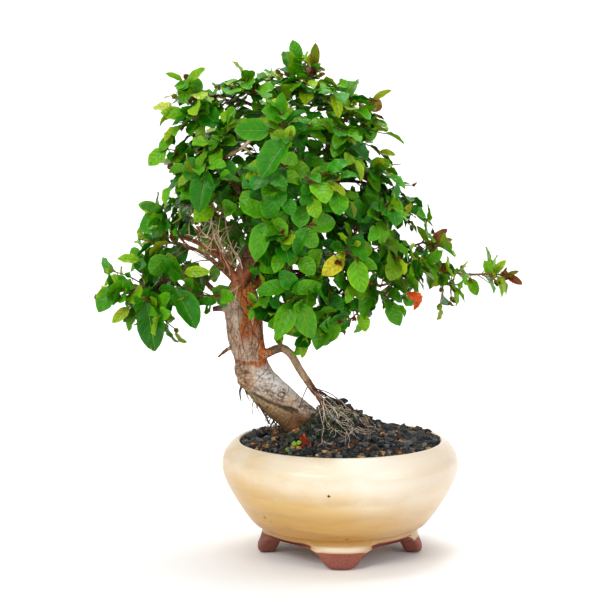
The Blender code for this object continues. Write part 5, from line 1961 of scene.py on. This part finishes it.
@dataclass
class Timber:
    """The trunk with its roots, the branches, and the dead twigs among them."""

    growth: Growth
    voxel: float = 0.95
    dead_count: int = 38
    frays: int = 13

    def trunk(self) -> Piece:
        """The trunk, its root lobe, the knob and the thick ends of the branches, grown in one.

        Returns:
            The piece.
        """
        strands = [strand_of(path).smooth(5) for path in (TRUNK, ROOT_LOBE, KNOB)]
        strands += [strand_of(path).smooth(4) for path in (*STUBS[:4], *RIDGES, AERIAL_ROOT[:3])]
        for name, path in BRANCHES.items():
            if path[0][3] > 4.5:
                strand = strand_of(path[:3]).smooth(4)
                strand.radii = [r * SLIM.get(name, 0.92) for r in strand.radii]
                strands.append(strand)
        piece = thread("trunk_bark", strands, Finish.BARK, 6)
        change(piece, "REMESH", mode="VOXEL", voxel_size=self.voxel * METRE, use_smooth_shade=True)
        change(piece, "SMOOTH", factor=0.5, iterations=2)
        roughen(piece, "CLOUDS", 12, 1.3, noise_depth=2)
        roughen(piece, "VORONOI", 6, 0.3, weight_1=-1.0, weight_2=1.0)
        roughen(piece, "CLOUDS", 2.2, 0.7, noise_depth=3)
        piece.data.materials.clear()
        piece.data.materials.append(Finish.BARK.material())
        return piece

    def branches(self) -> Piece:
        """The branches, the high stub and the limbs that carry the sprays.

        Returns:
            The piece.
        """
        rng = draws("branch knots")
        limbs = {name: spray.limb for name, spray in self.growth.sprays.items()}
        strands = []
        for name, path in {**BRANCHES, "high_stub": STUBS[4], **limbs}.items():
            strand = strand_of(path).smooth(5)
            slim = SLIM.get(name, 0.8)
            strand.radii = [r * slim * (1 + rng.uniform(-0.1, 0.12)) for r in strand.radii]
            strands.append(strand)
        piece = thread("branch_bark", strands, Finish.BARK, 3)
        roughen(piece, "CLOUDS", 5, 0.5, noise_depth=2)
        return piece

    def aerial_root(self) -> Piece:
        """The arched root.

        Returns:
            The piece.
        """
        piece = thread("aerial_root_bark", [strand_of(AERIAL_ROOT).smooth(6)], Finish.AERIAL, 4)
        roughen(piece, "CLOUDS", 4, 0.6, noise_depth=2)
        return piece

    def frayed_end(self) -> Piece:
        """The twisted, dark bundle at the arched root's end.

        Returns:
            The piece.
        """
        rng = draws("frayed end")
        core = strand_of(AERIAL_ROOT[6:])
        strands = []
        for _ in range(self.frays):
            turn, lean = rng.uniform(0, math.tau), rng.uniform(0.8, 1.7)
            points = []
            for i, (point, radius) in enumerate(zip(core.points, core.radii)):
                angle = turn + i * lean
                out = Vector((math.cos(angle), math.sin(angle), 0.3 * math.cos(angle)))
                points.append(point + out * (radius * 0.8 + 0.12 * i * i))
            strands.append(Strand(points, [0.9, 0.7, 0.5, 0.42, 0.24]).smooth(4))
        return thread("frayed_root_end", strands, Finish.ROOT_END, 1)

    def dead_twigs(self) -> Piece:
        """The tangle of pale, dead twigs over the left branches, and a few longer ones.

        Returns:
            The piece.
        """
        rng = draws("dead twigs")
        strands = []
        for k in range(self.dead_count):
            start = TANGLE[0].lerp(TANGLE[1], k / (self.dead_count - 1))
            start += Vector((rng.uniform(-4, 4), rng.uniform(-12, 10), rng.uniform(-5, 9)))
            angles = (rng.uniform(50, 90), rng.uniform(80, 125), rng.uniform(120, 165))
            angle = math.radians(rng.choice(angles))
            aim = Vector((math.cos(angle), rng.uniform(-0.5, 0.3), math.sin(angle))).normalized()
            length = rng.uniform(12, 34) * (0.75 if angle < 1.3 else 1.0)
            bend = anywhere(rng) * length * 0.16
            points = [start, start + aim * length * 0.45 + bend, start + aim * length - bend * 0.6]
            strands.append(Strand(points, [rng.uniform(0.36, 0.6), 0.36, 0.18]).smooth(3))
            for _ in range(rng.choice((0, 1, 1, 2))):
                knot = points[1].lerp(points[2], rng.uniform(-0.4, 0.6))
                fork = anywhere(rng) * 1.3 + aim
                end = knot + fork.normalized() * rng.uniform(5, 13)
                strands.append(arched(knot, bend * 0.2, end, (0.3, 0.25, 0.14)))
        strands += [strand_of(path).smooth(3) for path in LOOSE_TWIGS]
        return thread("dead_twigs", strands, Finish.DEAD, 0)

    def rusty_twigs(self) -> Piece:
        """The rust-brown side branches that stand in front of the leaders.

        Returns:
            The piece.
        """
        strands = [strand_of(path).smooth(4) for path in RUSTY_BRANCHES]
        piece = thread("rusty_branches", strands, Finish.RUSTY, 2)
        roughen(piece, "CLOUDS", 4, 0.5, noise_depth=2)
        return piece

    def build(self) -> None:
        """Builds the wood."""
        keep(self.trunk(), "plum_bark", "tree_wood")
        for make in (self.branches, self.rusty_twigs, self.aerial_root, self.frayed_end, self.dead_twigs):
            keep(make(), "plum_bark")


# Pot


@dataclass(frozen=True)
class Bowl:
    """The glazed bowl with its in-turned rim, drain hole and four scalloped feet."""

    floor_top: float = 23.0
    foot_height: float = 16.0
    drain_radius: float = 8.0
    foot_outer: float = 62.5
    foot_inner: float = 44.0
    foot_batter: float = 6.0
    turns: int = 200
    foot: tuple[tuple[float, float], ...] = (
        (44.6, 12.0), (47.2, 6.0), (49.6, 1.4), (50.8, 0.3), (51.8, 0.0), (56.0, 0.0), (60.3, 0.0),
        (61.6, 0.4), (62.6, 1.6), (63.1, 3.4), (62.9, 6.0), (61.4, 9.5), (60.0, 14.0), (59.4, 18.0),
    )
    outside: tuple[tuple[float, float], ...] = (
        (60.0, 21.0), (67.5, 25.5), (78.5, 41.0), (87.0, 56.5), (90.0, 68.0), (88.4, 77.0), (84.0, 83.5),
        (79.4, 87.0),
    )
    lip: tuple[tuple[float, float], ...] = ((78.2, 87.35), (77.0, 86.9))
    inside: tuple[tuple[float, float], ...] = (
        (76.0, 85.6), (80.2, 77.6), (84.2, 68.5), (79.0, 51.5), (70.5, 38.0), (58.0, 23.0),
    )
    edge: tuple[tuple[float, float], ...] = (
        (0, 0.0), (3, 0.05), (6, 0.45), (8, 1.1), (10, 2.2), (12, 4.0), (14, 6.5), (16.5, 9.6), (19.5, 12.2),
        (24, 14.2), (30, 15.4), (37, 15.9), (45, 16.0),
    )

    def section(self) -> list[tuple[float, float]]:
        """Half of the bowl's section through a foot, from the drain hole round to the inside.

        Returns:
            (radius, height) points.
        """
        under = self.foot_height + 1
        floor = [(self.drain_radius, self.floor_top)]
        floor += [(radius, under) for radius in (self.drain_radius, 26.0, self.foot_inner - 2)]
        return [*floor, *self.foot, *self.smooth(self.outside, 5), *self.lip, *self.smooth(self.inside, 3)]

    def smooth(self, points: Sequence[tuple[float, float]], cuts: int) -> list[tuple[float, float]]:
        """A smooth curve through section points, with each stretch cut in pieces."""
        strand = Strand([Vector((r, 0, z)) for r, z in points], [1.0] * len(points)).smooth(cuts)
        return [(p.x, p.z) for p in strand.points]

    def foot_edge(self, degrees: float) -> float:
        """Height of the lower edge at an angle from a foot's middle.

        Args:
            degrees: The angle.

        Returns:
            The height in millimetres.
        """
        for (a, low), (b, high) in zip(self.edge, self.edge[1:]):
            if degrees <= b:
                return low + (high - low) * ((degrees - a) / (b - a))
        return self.foot_height

    def build(self) -> None:
        """Turns the section round the axis and scallops the lower edge between the feet."""
        rest()
        bpy.ops.mesh.primitive_plane_add(size=METRE)
        pot = bpy.context.object
        bpy.ops.object.mode_set(mode="EDIT")
        bpy.ops.mesh.merge(type="CENTER")
        last = Vector((0, 0, 0))
        for radius, height in self.section():
            goal = Vector((0, -radius, height)) * METRE
            if last.length == 0:
                bpy.ops.transform.translate(value=goal)
            else:
                bpy.ops.mesh.extrude_region_move(TRANSFORM_OT_translate={"value": goal - last})
            last = goal
        bpy.ops.mesh.select_all(action="SELECT")
        bpy.ops.mesh.edge_face_add()
        bpy.ops.mesh.delete(type="ONLY_FACE")
        bpy.ops.mesh.select_all(action="SELECT")
        bpy.ops.mesh.spin(steps=self.turns, angle=math.tau, center=(0, 0, 0), axis=(0, 0, 1))
        bpy.ops.mesh.select_all(action="SELECT")
        bpy.ops.mesh.remove_doubles(threshold=0.02 * METRE)
        bpy.ops.mesh.normals_make_consistent(inside=False)
        bpy.ops.object.mode_set(mode="OBJECT")
        carve(pot, self.scalloped)
        pot.name = pot.data.name = "pot_glazed"
        pot.data.materials.append(Finish.GLAZE.material())
        bpy.ops.object.shade_smooth()
        keep(pot, "cream_glaze", "pot")

    def scalloped(self, point: Vector) -> Vector:
        """Where a point of the turned bowl goes.

        Args:
            point: The point before the feet are cut.

        Returns:
            Its place in the scene, in metres.
        """
        x, y, z = point / METRE
        radius = math.hypot(x, y)
        top = self.foot_height + 0.5
        if z < top and radius > self.foot_inner - 3:
            degrees = math.degrees(math.atan2(x, -y)) % 90
            edge = self.foot_edge(min(degrees, 90 - degrees))
            swell = 1 - edge / self.foot_height
            z = edge + z * (top - edge) / top
            if radius > (self.foot_inner + self.foot_outer) / 2:
                goal = radius - self.foot_batter * 0.75 * (1 - swell)
                x, y = x * goal / radius, y * goal / radius
        return placed((x, y, z))


# Ground


def soil_height(x: float, y: float) -> float:
    """Height of the smooth mound at a place.

    Args:
        x: The place's X in the layout.
        y: Its Y.

    Returns:
        The height in millimetres.
    """
    across = 22.0 if x < -6.0 else 27.0
    hill = math.exp(-((x + 6.0) / across) ** 2 - ((y - 2.0) / 32.0) ** 2)
    return 82.4 + 22.0 * hill + 10.0 * (1 - (x * x + y * y) / 76.0**2)


def tumbled(rng: random.Random, least: float, most: float) -> Matrix:
    """A lean between two angles, then any turn round the upright."""
    turn = Matrix.Rotation(rng.uniform(0, math.tau), 4, "Z")
    return turn @ Matrix.Rotation(rng.uniform(least, most), 4, "X")


ODD_GRAINS = (
    (-51.5, -40, 1, 4), (-66, -21, 0.86, 6.2), (-57, -38, 0.8, 5.6), (-49.5, -18, 0.88, 5.4),
    (-33, -17, 0.9, 5.6), (36, -26, 0.88, 6.2), (45, -24, 0.86, 5.6), (26, -62, 0.85, 5.4),
    (30, -60, 0.88, 4.6), (-45, -44, 0.5, 4.6), (-6, -54, 0.72, 6.2), (10, -44, 0.74, 6),
    (-18, -30, 0.48, 5.4), (52, -8, 0.3, 7.5), (60, 2, 0.34, 7), (34, -4, 0.3, 8), (-62, 6, 0.1, 6.8),
    (-10, 8, 0.28, 8), (48, 12, 0.3, 8), (62, 14, 0.35, 7), (16, 14, 0.2, 8.4), (30, 18, 0.3, 7.6),
    (2, 2, 0.1, 8.6), (22, 4, 0.25, 7.6), (44, 30, 0.8, 6.6), (-68, 10, 0.15, 7), (38, -14, 0.46, 7.4),
    (50, -30, 0.44, 7), (30, -40, 0.47, 7.2),
)


@dataclass
class Ground:
    """The grit with its moss, the fine roots, the fallen leaf and the sprout."""

    grains: int = 2700
    reach: float = 74.6
    grain_models: int = 5
    tuft_tries: int = 5200
    tuft_reach: float = 60.0
    fans: int = 9
    crumbs: int = 90
    threads: int = 7
    shreds: int = 34

    def __post_init__(self) -> None:
        """Reads the soil's and the wood's surfaces."""
        depsgraph = bpy.context.evaluated_depsgraph_get()
        self.soil = BVHTree.FromObject(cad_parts["soil"], depsgraph)
        self.wood = BVHTree.FromObject(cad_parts["tree_wood"], depsgraph)

    def surface(self, x: float, y: float, beside: float | None = None) -> float | None:
        """Height of the soil's top at a place in millimetres, or another value beside the soil."""
        hit = self.soil.ray_cast(placed((x, y, 200)), -UP)[0]
        return hit.z / METRE if hit else beside

    def mound(self, x: float, y: float) -> float:
        """Height of the soil's top, or of the smooth mound where there is no soil."""
        return self.surface(x, y, soil_height(x, y))

    def spots(self, rng: random.Random, count: int, reach: float) -> list[Vector]:
        """Places on the soil, even over a disc.

        Args:
            rng: The draws.
            count: How many are tried.
            reach: The disc's radius.

        Returns:
            The places that are clear of the wood.
        """
        found = []
        for k in range(count):
            radius = reach * math.sqrt((k + 0.5) / count)
            angle = k * 2.399963 + rng.uniform(-0.1, 0.1)
            x, y = radius * math.cos(angle), radius * math.sin(angle)
            z = self.surface(x, y)
            if z is not None and self.wood.find_nearest(placed((x, y, z)), 0.0012)[0] is None:
                found.append(Vector((x, y, z)))
        return found

    def grain(self, seed: int) -> Piece:
        """One rough grain, about a unit across, which is copied to each place.

        Args:
            seed: What its bumps are drawn from.

        Returns:
            The grain.
        """
        rest()
        bpy.ops.mesh.primitive_ico_sphere_add(subdivisions=1 + seed % 2, radius=0.55)
        grain = bpy.context.object
        grain.name = f"grain_{seed}"
        rng = random.Random(seed)
        carve(grain, lambda place: place * rng.uniform(0.64, 1.16))
        grain.data.materials.append(Finish.GRIT.material())
        return grain

    def grit(self) -> None:
        """Covers the mound with grains."""
        rng = draws("grit")
        models = [self.grain(seed) for seed in range(self.grain_models)]
        heap = []
        for spot in self.spots(rng, self.grains, self.reach):
            kind, size = self.drawn_grain(rng, spot)
            heap.append(self.place_grain(rng, models, spot, kind, size))
        for x, y, kind, size in ODD_GRAINS:
            spot = Vector((x, y, self.mound(x, y) + size * 0.1))
            heap.append(self.place_grain(rng, models, spot, kind, size))
        settle(heap[0])
        keep(join("grit_grains", heap), "dark_grit")
        for model in models:
            bpy.data.objects.remove(model)

    def place_grain(
        self, rng: random.Random, models: Sequence[Piece], spot: Vector, kind: float, size: float,
    ) -> Piece:
        """Lays one grain.

        Args:
            rng: The draws.
            models: The grains to copy.
            spot: Where it lies.
            kind: Its tone.
            size: Its size.

        Returns:
            The grain.
        """
        turn = tumbled(rng, -1.2, 1.2)
        sizes = (size * 1.15, size * rng.uniform(0.55, 0.95), size * rng.uniform(0.45, 0.85), 1)
        near_rim = max(0.0, math.hypot(spot.x, spot.y) - 60) / 14
        lift = UP * (size * rng.uniform(0.08, 0.36) + 2.4 * near_rim)
        place = Matrix.Translation(placed(spot + lift))
        matrix = place @ turn @ Matrix.Diagonal(sizes) @ Matrix.Scale(METRE, 4)
        return copied(rng.choice(models), matrix, (kind, rng.random(), 0))

    def drawn_grain(self, rng: random.Random, spot: Vector) -> tuple[float, float]:
        """A grain's tone and size: mostly dark, with tan ones near the rim and on the right.

        Args:
            rng: The draws.
            spot: Where it lies.

        Returns:
            The two.
        """
        tan_share = 0.06 if math.hypot(spot.x, spot.y) > 50 or spot.x > 24 else 0.02
        draw = rng.random()
        if draw < tan_share:
            return rng.uniform(0.82, 0.93), rng.uniform(2.8, 5.2)
        if draw < tan_share + 0.12:
            return rng.uniform(0.7, 0.77), rng.uniform(2.6, 4.8)
        if draw < tan_share + 0.125:
            return 1.0, rng.uniform(2.4, 3.6)
        kind = rng.choice((rng.uniform(0.0, 0.66), rng.uniform(0.2, 0.5)))
        size = rng.uniform(2.0, 3.9) if rng.random() < 0.78 else rng.uniform(3.9, 6.2)
        return kind, size * (1.15 if spot.x > 8 else 1.0)

    def moss(self) -> None:
        """Tufts of moss on the front of the mound and at the trunk's foot."""
        rng = draws("moss")
        rest()
        bpy.ops.mesh.primitive_cone_add(vertices=3, radius1=0.5, radius2=0.0, depth=1.0)
        tuft = bpy.context.object
        tuft.data.materials.append(Finish.MOSS.material())
        tufts = []
        for spot in self.spots(rng, self.tuft_tries, self.tuft_reach):
            front = math.exp(-((spot.x + 13) / 19) ** 2 - ((spot.y + 17) / 18) ** 2)
            foot = math.exp(-((spot.x + 30) / 16) ** 2 - ((spot.y + 4) / 22) ** 2)
            if rng.random() > max(front, foot) - 0.05:
                continue
            height = rng.uniform(1.6, 3.4)
            lean = tumbled(rng, 0, 0.7)
            scale = Matrix.Diagonal((1.3, 1.3, height, 1)) @ Matrix.Scale(METRE, 4)
            place = Matrix.Translation(placed(spot + UP * (1.6 + height * 0.35)))
            tufts.append(copied(tuft, place @ lean @ scale))
        settle(tufts[0])
        keep(join("moss_tufts", tufts), "dark_grit")
        bpy.data.objects.remove(tuft)

    def draped(self, points: Sequence[tuple[float, float]], radius: float, rng: random.Random) -> Strand:
        """A fine root that lies on the grit.

        Args:
            points: Its course in X and Y.
            radius: Its thickness at the start.
            rng: The draws.

        Returns:
            The strand.
        """
        course = Strand([Vector((*p, 0)) for p in points], [radius] * len(points)).smooth(4).points
        lifted = [Vector((p.x, p.y, self.mound(p.x, p.y) + 3.0 + rng.uniform(-0.6, 0.7))) for p in course]
        last = len(lifted) - 1
        return Strand(lifted, [radius * (1 - 0.6 * k / last) for k in range(last + 1)])

    def pale_roots(self, rng: random.Random) -> list[Strand]:
        """The rootlets of the arched root, and the pale fibres that fan over the mound.

        Args:
            rng: The draws.

        Returns:
            The strands.
        """
        pale = [strand_of(path).smooth(5) for path in ROOTLETS[:3]]
        for strand in pale:
            strand.radii = [r * 0.27 for r in strand.radii]
        for k in range(self.fans):
            start = Vector((-13 + rng.uniform(-4, 4), -12.5 + rng.uniform(-2, 2), 116 + rng.uniform(-4, 5)))
            turn = math.radians(-86 + 92 * k / (self.fans - 1) + rng.uniform(-6, 6))
            reach = rng.uniform(24, 46)
            foot = start + Vector((math.cos(turn), math.sin(turn), 0)) * rng.uniform(8, 15)
            foot.z = self.surface(foot.x, foot.y, 100) + 3.0
            pale.append(arched(start, UP * 1.6, foot, (0.24, 0.21, 0.18)).smooth(3))
            course, here = [(foot.x, foot.y)], Vector(foot)
            for _ in range(4):
                turn += rng.uniform(-0.5, 0.5)
                here = here + Vector((math.cos(turn), math.sin(turn), 0)) * reach / 5
                course.append((here.x, here.y))
            if math.hypot(here.x, here.y) < 68:
                pale.append(self.draped(course, 0.22, rng))
                side = [course[2], (course[3][0] + rng.uniform(-6, 6), course[3][1] - rng.uniform(3, 8))]
                pale.append(self.draped(side, 0.16, rng))
        for _ in range(self.crumbs):
            x, y = rng.gauss(2, 16), rng.gauss(-20, 13)
            if math.hypot(x, y) < 64:
                turn, reach = rng.uniform(0, math.tau), rng.uniform(2, 5)
                bends = [(i, turn + 0.3 * i) for i in range(3)]
                bits = [(x + math.cos(a) * reach * i, y + math.sin(a) * reach * i) for i, a in bends]
                pale.append(self.draped(bits, rng.uniform(0.12, 0.2), rng))
        return pale

    def dark_roots(self, rng: random.Random) -> list[Strand]:
        """The dark roots that hang from the arched root and from the root lobe.

        Args:
            rng: The draws.

        Returns:
            The strands.
        """
        dark = [Strand([Vector(p[:3]) for p in ROOTLETS[3][:3]], [0.5, 0.4, 0.25]).smooth(4)]
        for k in range(self.threads):
            start = Vector((-22 + k * 0.8, -10.8, 130 - k * 1.1))
            end = Vector((10 + 5 * k - 12, -14 + 3 * k, 112 - 3.6 * k))
            end.z = self.surface(end.x, end.y, 96) + 0.6
            dark.append(arched(start, UP * rng.uniform(1, 5), end, (0.42, 0.34, 0.26)).smooth(5))
        for _ in range(self.shreds):
            start = Vector((-72, -2, 136)).lerp(Vector((-38, -5, 92)), rng.random())
            start += Vector((rng.uniform(-5, 0), rng.uniform(-5, 4), rng.uniform(-3, 1)))
            end = start + Vector((rng.uniform(-3, 5), rng.uniform(-4, 4), -rng.uniform(5, 15)))
            end.z = max(end.z, self.surface(end.x, end.y, 88) + 0.4)
            bend = Vector((rng.uniform(-3, 2), rng.uniform(-2, 2), 0))
            dark.append(arched(start, bend, end, (0.5, 0.36, 0.2)).smooth(3))
        for x, z, dx, dz in ((-74, 130, -1, -13), (-72, 133, 3, -15), (-64, 122, 12, -24)):
            start = Vector((x, -7, z))
            end = start + Vector((dx, -1, dz))
            dark.append(arched(start, Vector((-1.6, 0, 1)), end, (1.2, 0.8, 0.3)).smooth(4))
        return dark

    def fallen_leaf(self) -> None:
        """The curled dry leaf on the grit."""
        x, y = FALLEN_LEAF_AT
        rise = soil_height(x - 1, y) - soil_height(x + 1, y)
        slope = Vector((rise, soil_height(x, y - 1) - soil_height(x, y + 1), 2.0)).normalized()
        along = slope.cross(Vector((0.5, 0.3, 1.0))).normalized()
        middle = Vector((x, y, soil_height(x, y))) + slope * 2.0
        normal = squared((slope - UP * 0.1 - Vector((0, 0.7, 0))).normalized(), along)
        model = crumpled_leaf(Finish.FALLEN)
        piece = copied(model, Leaf(middle - along * 6.4, along, normal, 14.0).matrix(), (0.5, 0.0, 0.0))
        bpy.data.objects.remove(model)
        settle(piece)
        piece.name = piece.data.name = "fallen_leaf_blade"
        keep(piece, "leaf_fallen", "fallen_leaf")

    def sprouts(self) -> None:
        """The little green sprouts, of which the larger one stands for its solid."""
        model = ROUND.build()
        model.data.materials.append(Finish.SPROUT.material())
        stems, leaves = [], []
        for (x, y), top, size in ((SEEDLING_AT, SEEDLING_TOP, 4.4), ((-33.0, -46.6), 4.6, 3.8)):
            ground = self.mound(x, y)
            base, tip = Vector((x, y, ground - 1.0)), Vector((x, y, ground + top))
            stems.append(Strand([base, tip], [0.5, 0.4]))
            for side in (-1, 1):
                along = Vector((side, -0.25, 0.1 + 0.2 * side)).normalized()
                normal = along.cross(Vector((0, -0.9, 0.8)).cross(along)).normalized()
                leaves.append(copied(model, Leaf(tip, along, normal, size).matrix(), (0.5, 0.0, 0.0)))
        wood = thread("sprout_stems", stems, Finish.SPROUT, 0)
        tint(wood, (0.3, 0.0, 0.0))
        bpy.data.objects.remove(model)
        keep(join("sprout_leaves", [wood, *leaves]), "seedling_green", "seedling")

    def build(self) -> None:
        """Dresses the soil and lays everything on it."""
        for node, finish in (("soil", Finish.GRIT), ("drain_mesh", Finish.NET)):
            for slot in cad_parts[node].material_slots:
                slot.material = finish.material()
        self.grit()
        self.moss()
        rng = draws("roots")
        keep(thread("pale_roots", self.pale_roots(rng), Finish.FIBRE, 1), "plum_bark")
        keep(thread("dark_roots", self.dark_roots(rng), Finish.DARK_FIBRE, 0), "plum_bark")
        self.fallen_leaf()
        self.sprouts()


# Studio


@dataclass(frozen=True)
class Lamp:
    """A soft light: where it is, its size, power and colour, and what it looks at."""

    name: str
    place: Triple
    size: float
    power: float
    colour: Triple = (1.0, 1.0, 1.0)
    goal: Triple = (0.0, 0.0, 0.2)

    def hang(self) -> None:
        """Hangs the lamp."""
        rest()
        bpy.ops.object.light_add(type="AREA", location=self.place)
        lamp = bpy.context.object
        lamp.name = self.name
        aim = Vector(self.goal) - Vector(self.place)
        lamp.rotation_euler = aim.to_track_quat("-Z", "Y").to_euler()
        lamp.data.shape = "DISK"
        lamp.data.size = self.size
        lamp.data.energy = self.power
        lamp.data.color = self.colour


@dataclass(frozen=True)
class Studio:
    """The plain pale floor and backdrop, the soft lights and the camera."""

    floor_size: float = 8.0
    wall_forward: float = 1.4
    wall_height: float = 4.0
    wall_bend: float = 1.2
    air: Quad = (0.93, 0.96, 1.0, 1.0)
    air_strength: float = 0.62
    pitch: float = 83.5
    lens: float = 110.2
    sensor: float = 36.0
    lamps: tuple[Lamp, ...] = (
        Lamp("key_light", (-1.1, -1.7, 1.5), 1.3, 30, (1.0, 0.985, 0.96)),
        Lamp("fill_light", (1.6, -1.4, 0.9), 1.4, 14, (0.96, 0.98, 1.0)),
        Lamp("top_light", (0.1, 0.3, 2.0), 1.2, 20),
        Lamp("backdrop_light", (0.0, 0.9, 1.9), 1.6, 26, goal=(0.0, 2.6, 0.5)),
    )

    def backdrop(self) -> None:
        """Bends a pale sheet from the floor up to a wall."""
        rest()
        bpy.ops.mesh.primitive_plane_add(size=self.floor_size, location=(0, 0, 0))
        sweep = bpy.context.object
        sweep.name = "studio_sweep"
        bpy.ops.object.mode_set(mode="EDIT")
        pick(sweep, lambda place: place.y > 0)
        bpy.ops.transform.translate(value=(0, -self.wall_forward, 0))
        bpy.ops.mesh.extrude_region_move(TRANSFORM_OT_translate={"value": (0, 0, self.wall_height)})
        pick(sweep, lambda place: place.y > 0 and place.z < 1)
        bpy.ops.mesh.bevel(offset=self.wall_bend, segments=16, affect="EDGES")
        bpy.ops.object.mode_set(mode="OBJECT")
        bpy.ops.object.shade_smooth()
        board = Board("studio_paper")
        paper = board.mix(board.noise(1.2, 2) * 0.1, hue(246, 245, 243), hue(236, 235, 233))
        sweep.data.materials.append(board.finish(paper, 0.85))

    def build(self) -> None:
        """Sets up everything round the plant."""
        self.backdrop()
        for lamp in self.lamps:
            lamp.hang()
        world = bpy.data.worlds.new("studio_air")
        world.use_nodes = True
        background = world.node_tree.nodes["Background"]
        background.inputs[0].default_value = self.air
        background.inputs[1].default_value = self.air_strength
        bpy.context.scene.world = world
        bpy.context.scene.view_settings.view_transform = "Standard"
        self.camera()

    def camera(self) -> None:
        """Places the camera where the photograph was taken from."""
        rest()
        bpy.ops.object.camera_add(location=placed(EYE), rotation=(math.radians(self.pitch), 0, 0))
        camera = bpy.context.object
        camera.data.lens = self.lens
        camera.data.sensor_width = self.sensor
        bpy.context.scene.camera = camera


def main() -> None:
    """Builds the plant round its solids."""
    logging.basicConfig(level=logging.INFO, format="%(name)s: %(message)s")
    growth = Growth()
    growth.lay_out()
    LOG.info("leaves: %d", sum(len(spray.leaves) for spray in growth.sprays.values()))
    ground = Ground()
    Timber(growth).build()
    Crown(growth).build()
    Bowl().build()
    ground.build()
    Studio().build()
    bpy.context.view_layer.update()


if __name__ == "__main__":
    main()
